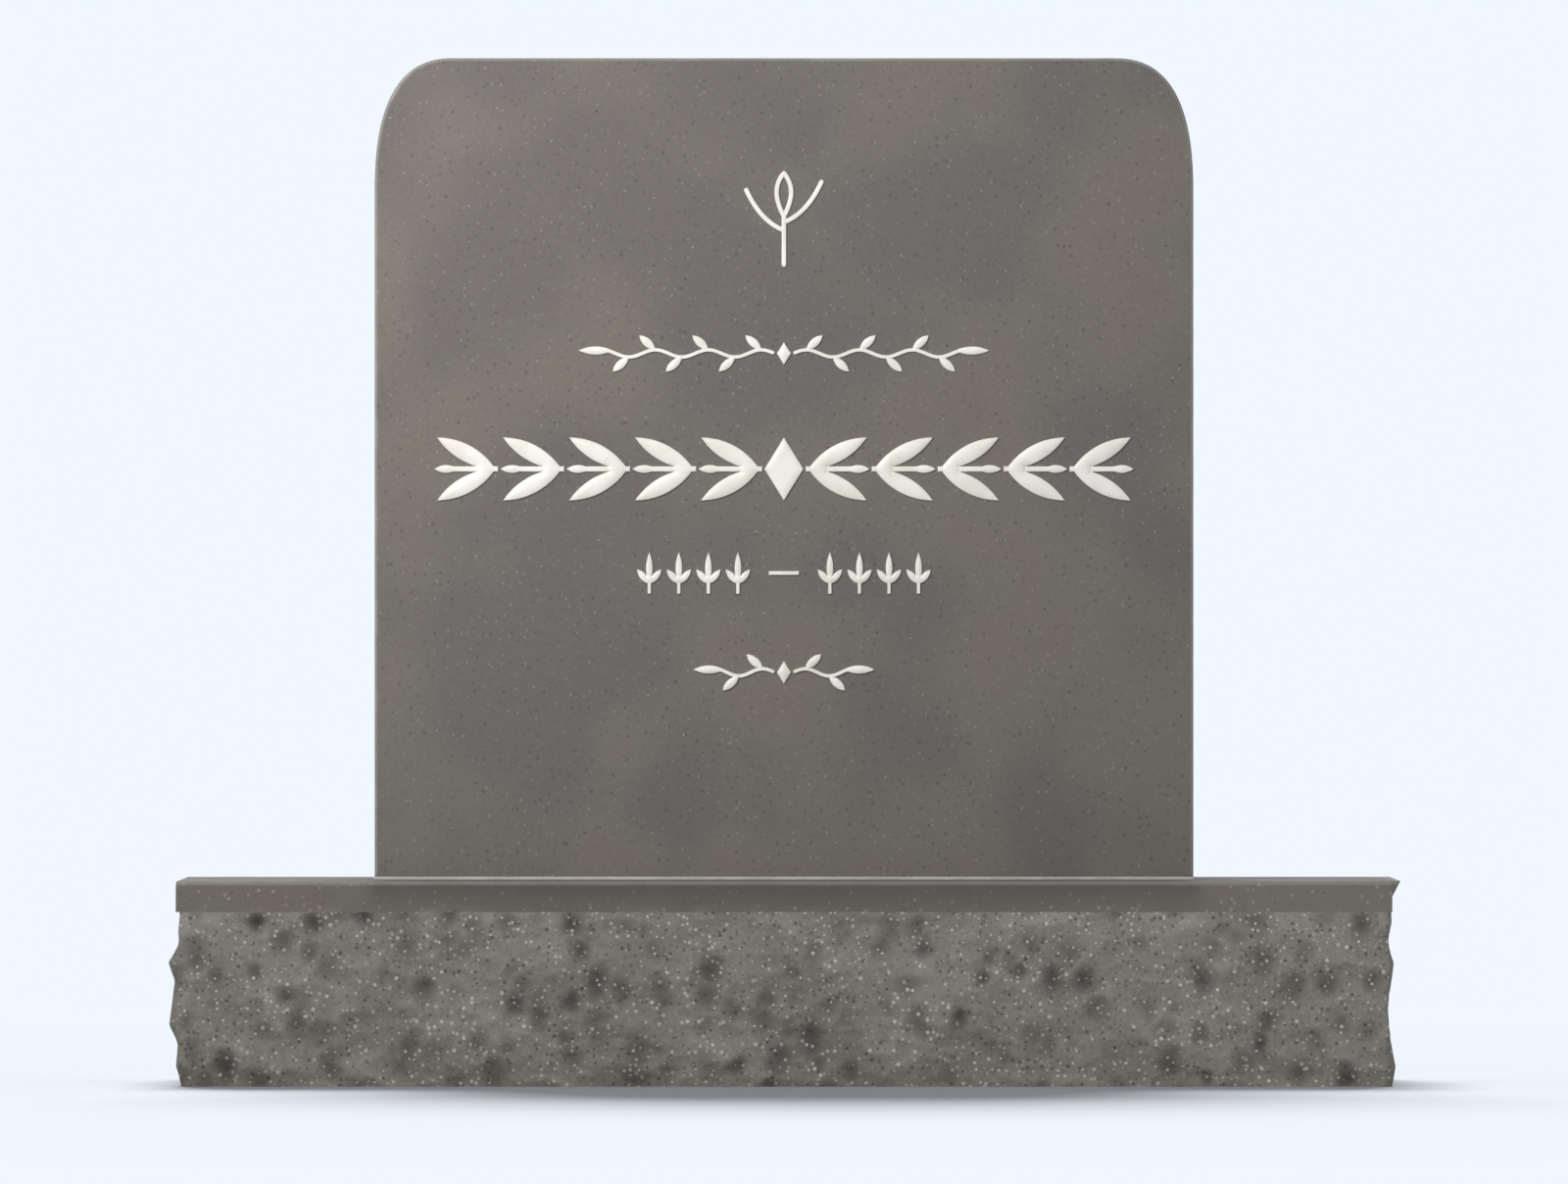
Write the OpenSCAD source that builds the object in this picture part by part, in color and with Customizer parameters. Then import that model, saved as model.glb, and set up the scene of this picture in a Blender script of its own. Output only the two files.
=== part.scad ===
// Upright headstone: a round-shouldered tablet bedded on a rock-faced base,
// with raised white ornament fixed to the front of the tablet.
// Millimetres. +Z is up, the front faces -Y, and the origin is the middle of
// the underside of the base.

/* [Tablet] */
// Width of the tablet
tablet_w = 609.6; // [500:0.1:760]
// Height of the tablet above its bed
tablet_h = 609.6; // [500:0.1:900]
// Thickness of the tablet, front to back
tablet_t = 152.4; // [75:0.1:200]
// How far in from the side each shoulder curve reaches
shoulder_w = 57; // [20:1:120]
// How far down from the top each shoulder curve reaches
shoulder_h = 97; // [20:1:200]
// Bevel on the arrises of the tablet
tablet_arris = 1.5; // [0.5:0.1:4]

/* [Base] */
// Overall width of the base, rock face to rock face
base_w = 914.4; // [780:0.1:1200]
// Overall depth of the base, rock face to rock face
base_d = 304.8; // [220:0.1:460]
// Height of the base
base_h = 152.4; // [90:0.1:260]
// Height of the sawn margin along the top of every face
margin_h = 23; // [15:1:50]
// Bevel along the top of the margin
margin_arris = 2; // [1:0.1:8]
// Furthest that the rock face stands out from the sawn margin
rock_relief = 6.2; // [3:0.1:14]
// Height of the lip left along the top of the right end
lip_h = 11.5; // [5:0.5:15]

/* [Setting joint] */
// Thickness of the bed of setting compound under the tablet
bed_t = 2.4; // [1:0.1:6]
// How far the bed stands out beyond the faces of the tablet
bed_proud = 1.2; // [0:0.1:5]

/* [Raised work] */
// How far the white ornament stands out from the face
relief_t = 2.5; // [1.5:0.1:5]
// Open space between neighbouring pieces of a row
piece_gap = 1.6; // [1:0.1:4]

/* [Sprout] */
// Top of the sprout below the top of the tablet
sprout_drop = 84; // [70:1:100]
// Width of its strokes
sprout_stroke = 3.5; // [2:0.1:6]
// Height of the bare stem, from its foot to the bud
stem_h = 36; // [25:1:45]
// Height of the bud above the stem
bud_h = 32; // [20:1:40]
// Width of the bud between the centre lines of its strokes
bud_w = 10.8; // [8:0.1:18]
// How far each branch reaches to its side
branch_reach = 28; // [15:1:45]
// Height at which the left branch leaves the stem
left_fork = 25.5; // [10:0.5:30]
// Height at which the right branch leaves the stem
right_fork = 31.5; // [10:0.5:34]
// How far each branch climbs above its fork
branch_rise = 30; // [15:1:40]

/* [Upper vine] */
// Centre line of the upper vine below the top of the tablet
upper_vine_drop = 220; // [205:1:235]
// Overall width of the upper vine
upper_vine_w = 306; // [200:1:420]
// Leaves on each side of the upper vine
upper_vine_leaves = 7; // [3:1:9]

/* [Laurel] */
// Centre line of the laurel below the top of the tablet
laurel_drop = 306; // [290:1:315]
// Bare face left between each end of the laurel and the side of the tablet
laurel_side_gap = 44.5; // [30:0.5:90]
// Overall height of the laurel
laurel_h = 47; // [30:1:60]
// Pairs of leaves on each side of the laurel
laurel_pairs = 5; // [3:1:6]
// Width of one laurel leaf at its middle
laurel_leaf_w = 12.5; // [8:0.5:14]
// Thickness of the laurel stem
laurel_stem = 4; // [2:0.5:6]

/* [Row of buds] */
// Centre line of the row below the top of the tablet
bud_row_drop = 383.5; // [370:0.5:400]
// Height of each open bud
open_bud_h = 31; // [18:1:40]
// Width of each open bud
open_bud_w = 18; // [12:0.5:20]
// Width of one leaf of a bud
bud_leaf_w = 5; // [3:0.1:7]
// Thickness of the stalk of a bud
bud_stalk_w = 2.6; // [1.5:0.1:5]
// Buds in the group at each side
buds_per_group = 4; // [2:1:5]
// Distance between neighbouring buds
bud_pitch = 22; // [20:0.5:30]
// Length of the dash between the two groups
dash_w = 22.5; // [10:0.5:30]
// Thickness of the dash
dash_h = 3; // [2:0.5:6]
// Open space between the dash and the bud at each side of it
dash_gap = 14; // [8:0.5:20]

/* [Lower vine] */
// Centre line of the lower vine below the top of the tablet
lower_vine_drop = 457.5; // [440:0.5:470]
// Overall width of the lower vine
lower_vine_w = 135; // [100:1:300]
// Leaves on each side of the lower vine
lower_vine_leaves = 3; // [2:1:7]

/* [Vine leaves] */
// Height of both vines, leaf tip to leaf tip
vine_h = 27; // [18:1:34]
// Thickness of the vine stems
vine_stem = 2.8; // [2:0.1:5]
// Width of a vine leaf at its middle
vine_leaf_w = 6.2; // [4:0.1:9]
// Height of the diamond boss at the middle of each vine
vine_boss_h = 17; // [10:1:26]

/* [Hidden] */
LAUREL_NUMBERS = [for (i = [1 : laurel_pairs]) i];
BUD_NUMBERS = [for (i = [1 : buds_per_group]) i];

stone_colour = [0.44, 0.42, 0.395];
rock_colour = [0.45, 0.435, 0.415];
joint_colour = [0.60, 0.59, 0.575];
enamel_colour = [0.95, 0.945, 0.925];

// The sawn margin is the plane that the rock face is worked back from.
margin_w = base_w - 2 * rock_relief;
margin_d = base_d - 2 * rock_relief;
rock_h = base_h - margin_h;
tablet_foot = base_h + bed_t;
tablet_top = tablet_foot + tablet_h;
face_y = -tablet_t / 2;

shoulder_steps = 24;
cap_steps = 8;
curve_steps = 14;

// Rock face: share of its height, and share of rock_relief that it stands out.
left_end_profile = [
    [0, -0.70], [0.12, 0], [0.24, -0.25], [0.35, 0.90], [0.60, 0.20],
    [0.71, 1], [0.83, -0.60], [0.94, -0.70], [1, -0.53]
];
right_end_profile = [
    [0, 0.05], [0.12, 0.47], [0.35, -0.50], [0.46, -0.72], [0.545, -0.25],
    [0.71, 0.26], [0.83, -0.65], [0.94, -0.05], [1, -0.11]
];
long_face_profile = [
    [0, -0.45], [0.12, 0.05], [0.35, 0.30], [0.60, 0.25], [0.83, 0.05], [1, -0.35]
];
rock_levels = [0, 0.12, 0.24, 0.35, 0.46, 0.545, 0.60, 0.71, 0.83, 0.94, 1];
facet_w = 20;
facet_seed = 36;

// ---- curves ----

function middle(a, b, share) = a + (b - a) * share;

// Point on a curve that leaves a towards c and arrives at b from c.
function bend(a, c, b, share) =
    middle(middle(a, c, share), middle(c, b, share), share);

function bend_path(a, c, b, steps = curve_steps) =
    [for (i = [0 : steps]) bend(a, c, b, i / steps)];

function unit(v) = v / norm(v);

function left_of(v) = [-v[1], v[0]];

// Anticlockwise outline of a stroke of even width along a path, with round ends.
function stroke_outline(path, width) =
    let (
        last = len(path) - 1,
        along = [
            for (i = [0 : last])
                unit(path[min(i + 1, last)] - path[max(i - 1, 0)])
        ],
        side = [for (v = along) left_of(v) * width / 2],
        end_cap = [
            for (i = [1 : cap_steps - 1])
                let (a = 180 * i / cap_steps - 90)
                path[last] + along[last] * cos(a) * width / 2
                    + side[last] * sin(a)
        ],
        start_cap = [
            for (i = [1 : cap_steps - 1])
                let (a = 180 * i / cap_steps - 90)
                path[0] - along[0] * cos(a) * width / 2 - side[0] * sin(a)
        ]
    )
    concat(
        [for (i = [0 : last]) path[i] - side[i]],
        end_cap,
        [for (i = [last : -1 : 0]) path[i] + side[i]],
        start_cap
    );

// A closed outline that runs anticlockwise, moved inwards by depth, apart from
// its foot at y = 0, which stays on that line.
function inset_outline(outline, depth) =
    let (count = len(outline))
    [
        for (i = [0 : count - 1])
            let (
                before = unit(outline[i] - outline[(i + count - 1) % count]),
                after = unit(outline[(i + 1) % count] - outline[i]),
                n1 = left_of(before),
                n2 = left_of(after),
                moved = outline[i] + (n1 + n2) * depth / (1 + n1 * n2)
            )
            [moved[0], outline[i][1] == 0 ? 0 : moved[1]]
    ];

// ---- shared shapes ----

// A thin slab whose outline shrinks by depth as it rises by depth.
module bevel_layer(outline, depth) {
    count = len(outline);
    upper = inset_outline(outline, depth);
    points = concat(
        [for (p = outline) [p[0], p[1], 0]],
        [for (p = upper) [p[0], p[1], depth]]
    );
    sides = [
        for (i = [0 : count - 1])
            [i, count + i, count + (i + 1) % count, (i + 1) % count]
    ];
    floor_face = [for (i = [0 : count - 1]) i];
    top_face = [for (i = [count - 1 : -1 : 0]) count + i];
    polyhedron(points, concat([floor_face, top_face], sides), convexity = 4);
}

// A slab of the outline's shape with both of its faces bevelled above the foot.
module bevelled_slab(outline, thickness, bevel) {
    translate([0, 0, bevel])
        linear_extrude(thickness - 2 * bevel)
            polygon(outline);
    translate([0, 0, thickness - bevel])
        bevel_layer(outline, bevel);
    translate([0, 0, bevel])
        mirror([0, 0, 1])
            bevel_layer(outline, bevel);
}

module stroke(path, width) {
    polygon(stroke_outline(path, width));
}

// A pointed leaf from the origin along +X, between two equal arcs.
module leaf(length, width) {
    radius = (length * length + width * width) / (4 * width);
    intersection() {
        translate([length / 2, radius - width / 2])
            circle(radius, $fn = 180);
        translate([length / 2, width / 2 - radius])
            circle(radius, $fn = 180);
    }
}

module diamond(width, height) {
    polygon([[-width / 2, 0], [0, -height / 2], [width / 2, 0], [0, height / 2]]);
}

// Stands flat work upright on the front face, drop below the top of the tablet.
module on_face(drop) {
    color(enamel_colour)
        translate([0, face_y, tablet_top - drop])
            rotate([90, 0, 0])
                linear_extrude(relief_t)
                    children();
}

// ---- base ----

function noise(s, z) =
    0.42 * sin(1.9 * s + 2.3 * z) + 0.33 * sin(4.1 * s - 3.1 * z + 50)
        + 0.25 * sin(8.3 * s + 5.9 * z + 110);

module rock_face() {
    long_steps = ceil(margin_w / facet_w);
    short_steps = ceil(margin_d / facet_w);
    ring = 2 * (long_steps + short_steps);
    levels = len(rock_levels);
    chips = rands(-1, 1, ring * levels * 2, facet_seed);

    // Inner points of a ring are shifted off their even spacing.
    function chip(j, k) = chips[2 * (k * ring + j)];
    function shift(j, k) = chips[2 * (k * ring + j) + 1] * 0.3;
    function even_level(k) = k == 0 || k == levels - 1;
    function level_z(j, k) =
        rock_h * (even_level(k)
            ? rock_levels[k]
            : rock_levels[k] + 0.025 * chip(j, k));

    function within(out) = max(-0.8, min(1, out)) * rock_relief;
    function left_out(k) = within(lookup(rock_levels[k], left_end_profile));
    function right_out(k) = within(lookup(rock_levels[k], right_end_profile));
    function long_out(j, k, s) =
        within(lookup(rock_levels[k], long_face_profile)
            + (even_level(k) ? 0.25 : 0.75) * noise(s, level_z(j, k))
            + (even_level(k) ? 0.15 : 0.40) * chip(j, k));
    // The ends are hollowed between their corners, never swelled.
    function end_hollow(j, k, share) =
        rock_relief * sin(180 * share) * (even_level(k) ? 0.15 : 0.7)
            * (0.5 * noise(share * margin_d, level_z(j, k)) + 0.3 * chip(j, k) - 0.7);

    function left_x(k) = -margin_w / 2 - left_out(k);
    function right_x(k) = margin_w / 2 + right_out(k);
    function front_y(j, k, x) = -margin_d / 2 - long_out(j, k, x);
    function back_y(j, k, x) = margin_d / 2 + long_out(j, k, margin_w - x);

    function front_point(j, k, i) =
        let (
            share = (i == 0 ? 0 : (i + shift(j, k)) / long_steps),
            x = middle(left_x(k), right_x(k), share)
        )
        [x, front_y(j, k, x), level_z(j, k)];
    function back_point(j, k, i) =
        let (
            share = (i == 0 ? 0 : (i + shift(j, k)) / long_steps),
            x = middle(right_x(k), left_x(k), share)
        )
        [x, back_y(j, k, x), level_z(j, k)];
    function right_point(j, k, i) =
        let (
            share = (i == 0 ? 0 : (i + shift(j, k)) / short_steps),
            x = right_x(k)
        )
        [
            x + end_hollow(j, k, share),
            middle(front_y(long_steps, k, x), back_y(long_steps + short_steps, k, x), share),
            level_z(j, k)
        ];
    function left_point(j, k, i) =
        let (
            share = (i == 0 ? 0 : (i + shift(j, k)) / short_steps),
            x = left_x(k)
        )
        [
            x - end_hollow(j, k, share),
            middle(back_y(ring - short_steps, k, x), front_y(0, k, x), share),
            level_z(j, k)
        ];
    function ring_point(j, k) =
        j < long_steps ? front_point(j, k, j)
        : j < long_steps + short_steps ? right_point(j, k, j - long_steps)
        : j < ring - short_steps
            ? back_point(j, k, j - long_steps - short_steps)
        : left_point(j, k, j - ring + short_steps);

    floor_middle = ring * levels;
    top_middle = floor_middle + 1;
    points = concat(
        [for (k = [0 : levels - 1], j = [0 : ring - 1]) ring_point(j, k)],
        [[0, 0, 0], [0, 0, rock_h]]
    );
    // Every second cell is split the other way, so that no facet line runs on.
    cells = [
        for (k = [0 : levels - 2], j = [0 : ring - 1])
            let (
                a = k * ring + j,
                b = k * ring + (j + 1) % ring,
                c = b + ring,
                d = a + ring
            )
            each ((j + k) % 2 == 0
                ? [[a, d, c], [a, c, b]]
                : [[a, d, b], [b, d, c]])
    ];
    caps = [
        for (j = [0 : ring - 1])
            let (next = (j + 1) % ring, top = ring * (levels - 1))
            each [
                [floor_middle, j, next],
                [top_middle, top + next, top + j]
            ]
    ];
    polyhedron(points, concat(cells, caps), convexity = 10);
}

// A long wedge that takes the bevel off one top edge of the margin.
module arris_cutter(length) {
    side = margin_arris * sqrt(2);
    rotate([45, 0, 0])
        cube([length, side, side], center = true);
}

module sawn_margin() {
    reach = base_w + base_d;
    lip_root = 1;
    difference() {
        union() {
            translate([-margin_w / 2, -margin_d / 2, rock_h])
                cube([margin_w, margin_d, margin_h]);
            translate([margin_w / 2, margin_d / 2, base_h])
                rotate([90, 0, 0])
                    linear_extrude(margin_d)
                        polygon([
                            [-lip_root, 0], [-lip_root, -lip_h],
                            [0, -lip_h], [rock_relief, 0]
                        ]);
        }
        for (side = [-1, 1])
            translate([0, side * margin_d / 2, base_h])
                arris_cutter(reach);
        translate([-margin_w / 2, 0, base_h])
            rotate([0, 0, 90])
                arris_cutter(reach);
    }
}

module base() {
    color(rock_colour) rock_face();
    color(stone_colour) sawn_margin();
}

// ---- tablet and its bed ----

module setting_joint() {
    bed_w = tablet_w + 2 * bed_proud;
    bed_d = tablet_t + 2 * bed_proud;
    color(joint_colour)
        translate([-bed_w / 2, -bed_d / 2, base_h])
            cube([bed_w, bed_d, bed_t]);
}

function tablet_outline() =
    let (
        half = tablet_w / 2,
        right_shoulder = bend_path(
            [half, tablet_h - shoulder_h], [half, tablet_h],
            [half - shoulder_w, tablet_h], shoulder_steps
        ),
        left_shoulder = [
            for (i = [shoulder_steps : -1 : 0])
                [-right_shoulder[i][0], right_shoulder[i][1]]
        ]
    )
    concat([[-half, 0], [half, 0]], right_shoulder, left_shoulder);

module tablet() {
    color(stone_colour)
        translate([0, tablet_t / 2, tablet_foot])
            rotate([90, 0, 0])
                bevelled_slab(tablet_outline(), tablet_t, tablet_arris);
}

// ---- raised ornament ----

module sprout() {
    bud_top = stem_h + bud_h;
    foot = sprout_drop + bud_top + sprout_stroke / 2;
    on_face(foot) {
        stroke([[0, 0], [0, stem_h]], sprout_stroke);
        for (side = [-1, 1])
            stroke(
                bend_path([0, stem_h], [side * bud_w, stem_h + 0.61 * bud_h], [0, bud_top]),
                sprout_stroke
            );
        branch(-1, left_fork);
        branch(1, right_fork);
    }
}

// One branch of the sprout, which leaves the stem low and ends steeply.
module branch(side, fork) {
    stroke(
        bend_path(
            [0, fork],
            [side * 0.61 * branch_reach, fork + 0.21 * branch_rise],
            [side * branch_reach, fork + branch_rise]
        ),
        sprout_stroke
    );
}

// Half of a vine, to the right of its boss: a waving stem with leaves in turn
// above and below it, slanting outwards, the last one along the stem's end.
module half_vine(overall_w, leaves) {
    start = boss_w() / 2 + piece_gap;
    run = overall_w / 2 - start;
    pitch = run / (leaves + 0.4);
    wave = vine_h * 0.1;
    slant = 42;
    leaf_l = (vine_h / 2 - wave) / sin(slant);
    tip_l = pitch * 1.3;
    stem_start = vine_stem / 2;
    stem_end = run - tip_l * 0.85;
    steps = 6 * leaves;
    function stem_y(x) = wave * sin(180 * x / pitch);
    stem_path = [
        for (i = [0 : steps])
            let (x = middle(stem_start, stem_end, i / steps))
            [x, stem_y(x)]
    ];
    translate([start, 0]) {
        stroke(stem_path, vine_stem);
        for (i = [0 : leaves - 2]) {
            x = pitch * (i + 0.5);
            side = i % 2 == 0 ? 1 : -1;
            translate([x, stem_y(x)])
                rotate(side * slant)
                    leaf(leaf_l, vine_leaf_w);
        }
        translate([run - tip_l, stem_y(stem_end)])
            leaf(tip_l, vine_leaf_w);
    }
}

function boss_w() = vine_boss_h * 0.62;

function laurel_boss_w() = laurel_h * 0.62;

// Distance from one pair of laurel leaves to the next along the stem.
function laurel_pitch() =
    (tablet_w / 2 - laurel_side_gap - laurel_boss_w() / 2) / laurel_pairs;

// One pair of laurel leaves on their length of stem, pointing along +X.
module laurel_pair() {
    leaf_rise = laurel_h / 2;
    leaf_run = laurel_pitch() - piece_gap - laurel_stem;
    slant = atan(leaf_rise / leaf_run);
    stem_l = leaf_run * 0.78;
    translate([0, -laurel_stem / 2])
        square([stem_l, laurel_stem]);
    translate([stem_l - laurel_stem, 0])
        leaf(laurel_pitch() - piece_gap - stem_l + laurel_stem, laurel_stem * 1.5);
    for (side = [-1, 1])
        translate([laurel_stem / 2, 0])
            rotate(side * slant)
                leaf(norm([leaf_run, leaf_rise]), laurel_leaf_w);
}

// An opening bud on a short stalk: one upright leaf between two that lean out.
module open_bud() {
    stalk_h = open_bud_h * 0.3;
    lean = 40;
    side_l = open_bud_w / 2 / sin(lean);
    translate([-bud_stalk_w / 2, -open_bud_h / 2])
        square([bud_stalk_w, stalk_h]);
    translate([0, stalk_h * 0.8 - open_bud_h / 2]) {
        rotate(90)
            leaf(open_bud_h - stalk_h * 0.8, bud_leaf_w);
        for (side = [-1, 1])
            rotate(90 + side * lean)
                leaf(side_l, bud_leaf_w);
    }
}

module bud_at(side, i) {
    first = dash_w / 2 + dash_gap + open_bud_w / 2;
    on_face(bud_row_drop)
        translate([side * (first + (i - 1) * bud_pitch), 0])
            open_bud();
}

module laurel_at(side, i) {
    start = laurel_boss_w() / 2 + piece_gap;
    on_face(laurel_drop)
        mirror([side < 0 ? 1 : 0, 0])
            translate([start + (i - 1) * laurel_pitch(), 0])
                laurel_pair();
}

module vine_at(side, drop, overall_w, leaves) {
    on_face(drop)
        mirror([side < 0 ? 1 : 0, 0])
            half_vine(overall_w, leaves);
}

module vine_boss(drop) {
    on_face(drop)
        diamond(boss_w(), vine_boss_h);
}

// ---- nodes ----

base();
setting_joint();
tablet();
sprout();

vine_at(-1, upper_vine_drop, upper_vine_w, upper_vine_leaves);  // upper_vine_left
vine_boss(upper_vine_drop);  // upper_vine_boss
vine_at(1, upper_vine_drop, upper_vine_w, upper_vine_leaves);  // upper_vine_right

for (i = LAUREL_NUMBERS) {
    laurel_at(-1, i);
    laurel_at(1, i);
}
on_face(laurel_drop) diamond(laurel_boss_w(), laurel_h);  // laurel_boss

for (i = BUD_NUMBERS) {
    bud_at(-1, i);
    bud_at(1, i);
}
on_face(bud_row_drop) square([dash_w, dash_h], center = true);  // dash

vine_at(-1, lower_vine_drop, lower_vine_w, lower_vine_leaves);  // lower_vine_left
vine_boss(lower_vine_drop);  // lower_vine_boss
vine_at(1, lower_vine_drop, lower_vine_w, lower_vine_leaves);  // lower_vine_right
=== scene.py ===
"""Finish for an upright granite headstone.

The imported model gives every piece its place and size.  This script cuts the
stone for show: a rock-pitched base with a sawn margin, a honed tablet with worn
arrises, the bead of setting compound between them and the white ornament on
the face.  Lengths are metres, +Z is up and the front of the stone faces -Y.
"""

from __future__ import annotations

import logging
import math
from dataclasses import dataclass, field
from enum import Enum

import bmesh
import bpy
import numpy as np
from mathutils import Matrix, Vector, noise
from mathutils.geometry import delaunay_2d_cdt

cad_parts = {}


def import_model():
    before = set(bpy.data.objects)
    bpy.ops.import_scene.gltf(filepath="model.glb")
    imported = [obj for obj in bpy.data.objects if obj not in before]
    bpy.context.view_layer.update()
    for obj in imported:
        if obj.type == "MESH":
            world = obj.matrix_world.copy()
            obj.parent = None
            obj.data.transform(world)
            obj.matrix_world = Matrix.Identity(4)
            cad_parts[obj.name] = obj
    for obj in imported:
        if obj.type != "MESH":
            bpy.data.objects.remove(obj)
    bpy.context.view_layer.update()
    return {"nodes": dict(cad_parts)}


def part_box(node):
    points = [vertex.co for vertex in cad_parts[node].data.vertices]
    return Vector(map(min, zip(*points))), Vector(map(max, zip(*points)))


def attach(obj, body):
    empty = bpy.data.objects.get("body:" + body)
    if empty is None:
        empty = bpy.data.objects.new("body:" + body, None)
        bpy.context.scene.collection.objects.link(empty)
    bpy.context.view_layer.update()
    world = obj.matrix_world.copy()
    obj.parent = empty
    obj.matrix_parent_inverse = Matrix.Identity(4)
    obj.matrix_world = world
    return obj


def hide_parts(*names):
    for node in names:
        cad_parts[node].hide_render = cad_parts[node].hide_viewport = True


LOG = logging.getLogger("headstone")

Rgb = tuple[int, int, int]
Spot = tuple[float, float, float]
Socket = bpy.types.NodeSocket
Profile = tuple[tuple[float, float], ...]

MM = 0.001
WELD = 0.003 * MM  # points nearer than this are one point
SLIVER = 0.001 * MM * MM  # smallest triangle to keep
SEED = 7
BODY = "root"


def srgb(red: int, green: int, blue: int) -> tuple[float, float, float, float]:
    """Turns a display colour into the linear colour that shaders use.

    Args:
        red: Red from 0 to 255.
        green: Green from 0 to 255.
        blue: Blue from 0 to 255.

    Returns:
        Linear red, green, blue and an alpha of 1.
    """
    linear = [
        c / 255 / 12.92 if c / 255 <= 0.04045 else ((c / 255 + 0.055) / 1.055) ** 2.4
        for c in (red, green, blue)
    ]
    return (linear[0], linear[1], linear[2], 1.0)


def smoothstep(low: float, high: float, value: np.ndarray) -> np.ndarray:
    """Rises smoothly from 0 at low to 1 at high.

    Args:
        low: Value at which the result leaves 0.
        high: Value at which the result reaches 1.
        value: Values to map.

    Returns:
        An array of the same shape, between 0 and 1.
    """
    share = np.clip((value - low) / (high - low), 0.0, 1.0)
    return share * share * (3.0 - 2.0 * share)


def middle(low: float, high: float, share: float) -> float:
    """Finds a value part of the way from one to another."""
    return low + (high - low) * share


def at_level(plan: np.ndarray, level: float) -> np.ndarray:
    """Lifts X and Y of some points to one height."""
    return np.column_stack([plan, np.full(len(plan), level)])


def show(thing: bpy.types.Object) -> None:
    """Puts an object into the scene."""
    bpy.context.scene.collection.objects.link(thing)


def face_along(thing: bpy.types.Object, direction: Vector) -> None:
    """Turns a lamp or a camera to look in a direction."""
    thing.rotation_euler = direction.to_track_quat("-Z", "Y").to_euler()


# --------------------------------------------------------------------------
# Shader building
# --------------------------------------------------------------------------


class SocketKind(Enum):
    """Kinds of socket that the shared node groups use."""

    NUMBER = "NodeSocketFloat"
    COLOUR = "NodeSocketColor"
    POSITION = "NodeSocketVector"


class NodeBench:
    """Places and wires nodes in one node tree."""

    def __init__(self, tree: bpy.types.NodeTree) -> None:
        """Starts on a node tree.

        Args:
            tree: Tree of a material, a world or a node group.
        """
        self.tree = tree

    def add(self, kind: str, **settings: object) -> bpy.types.Node:
        """Adds one node.

        Args:
            kind: Blender's type name for the node.
            **settings: Properties to set on it.

        Returns:
            The new node.
        """
        node = self.tree.nodes.new(kind)
        for name, value in settings.items():
            setattr(node, name, value)
        return node

    def feed(self, target: bpy.types.NodeSocket, value: object) -> None:
        """Links a socket to an input, or sets the input's own value.

        Args:
            target: Input socket.
            value: An output socket, a number, or a colour or vector.
        """
        if isinstance(value, bpy.types.NodeSocket):
            self.tree.links.new(value, target)
        else:
            target.default_value = value

    def math(self, operation: str, *values: object) -> Socket:
        """Adds a Math node and gives its result.

        Args:
            operation: Blender's name for the operation.
            *values: Its inputs.

        Returns:
            The output socket.
        """
        node = self.add("ShaderNodeMath", operation=operation)
        for target, value in zip(node.inputs, values):
            self.feed(target, value)
        return node.outputs[0]

    def remap(self, value: object, low: float, high: float, new_low: float, new_high: float) -> Socket:
        """Maps a range of values smoothly onto another, and clamps it.

        Args:
            value: Input value.
            low: Start of the old range.
            high: End of the old range.
            new_low: Result at the start.
            new_high: Result at the end.

        Returns:
            The output socket.
        """
        node = self.add("ShaderNodeMapRange", interpolation_type="SMOOTHSTEP")
        for index, number in enumerate((value, low, high, new_low, new_high)):
            self.feed(node.inputs[index], number)
        return node.outputs[0]

    def mix(self, factor: object, first: object, second: object) -> Socket:
        """Mixes two colours.

        Args:
            factor: Share of the second colour.
            first: First colour.
            second: Second colour.

        Returns:
            The output socket.
        """
        node = self.add("ShaderNodeMix", data_type="RGBA")
        self.feed(node.inputs[0], factor)
        self.feed(node.inputs[6], first)
        self.feed(node.inputs[7], second)
        return node.outputs[2]

    def noise(self, place: object, scale: object, detail: float = 2.0) -> Socket:
        """Adds smooth noise.

        Args:
            place: Coordinates.
            scale: Waves to the metre, a number or a socket.
            detail: Finer layers on top of the first.

        Returns:
            The noise value, about 0.5 on average.
        """
        node = self.add("ShaderNodeTexNoise")
        self.feed(node.inputs["Vector"], place)
        self.feed(node.inputs["Scale"], scale)
        self.feed(node.inputs["Detail"], detail)
        return node.outputs["Fac"]

    def blend(self, factor: Socket, first: bpy.types.Node, second: bpy.types.Node) -> bpy.types.Node:
        """Mixes two shaders.

        Args:
            factor: Share of the second shader.
            first: First shader's node.
            second: Second shader's node.

        Returns:
            The node that mixes them.
        """
        node = self.add("ShaderNodeMixShader")
        for target, value in zip(node.inputs, (factor, first.outputs[0], second.outputs[0])):
            self.feed(target, value)
        return node

    def attribute(self, name: str) -> Socket:
        """Reads a value that the mesh carries."""
        return self.add("ShaderNodeAttribute", attribute_name=name).outputs["Fac"]

    def place(self) -> Socket:
        """Gives the point's place on the piece, in metres."""
        return self.add("ShaderNodeTexCoord").outputs["Object"]

    def use_group(self, group: bpy.types.NodeTree, **values: object) -> bpy.types.Node:
        """Places a shared node group.

        Args:
            group: The group.
            **values: Its inputs, with underscores for spaces.

        Returns:
            The group's node.
        """
        node = self.add("ShaderNodeGroup", node_tree=group)
        for name, value in values.items():
            self.feed(node.inputs[name.replace("_", " ").capitalize()], value)
        return node


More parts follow.
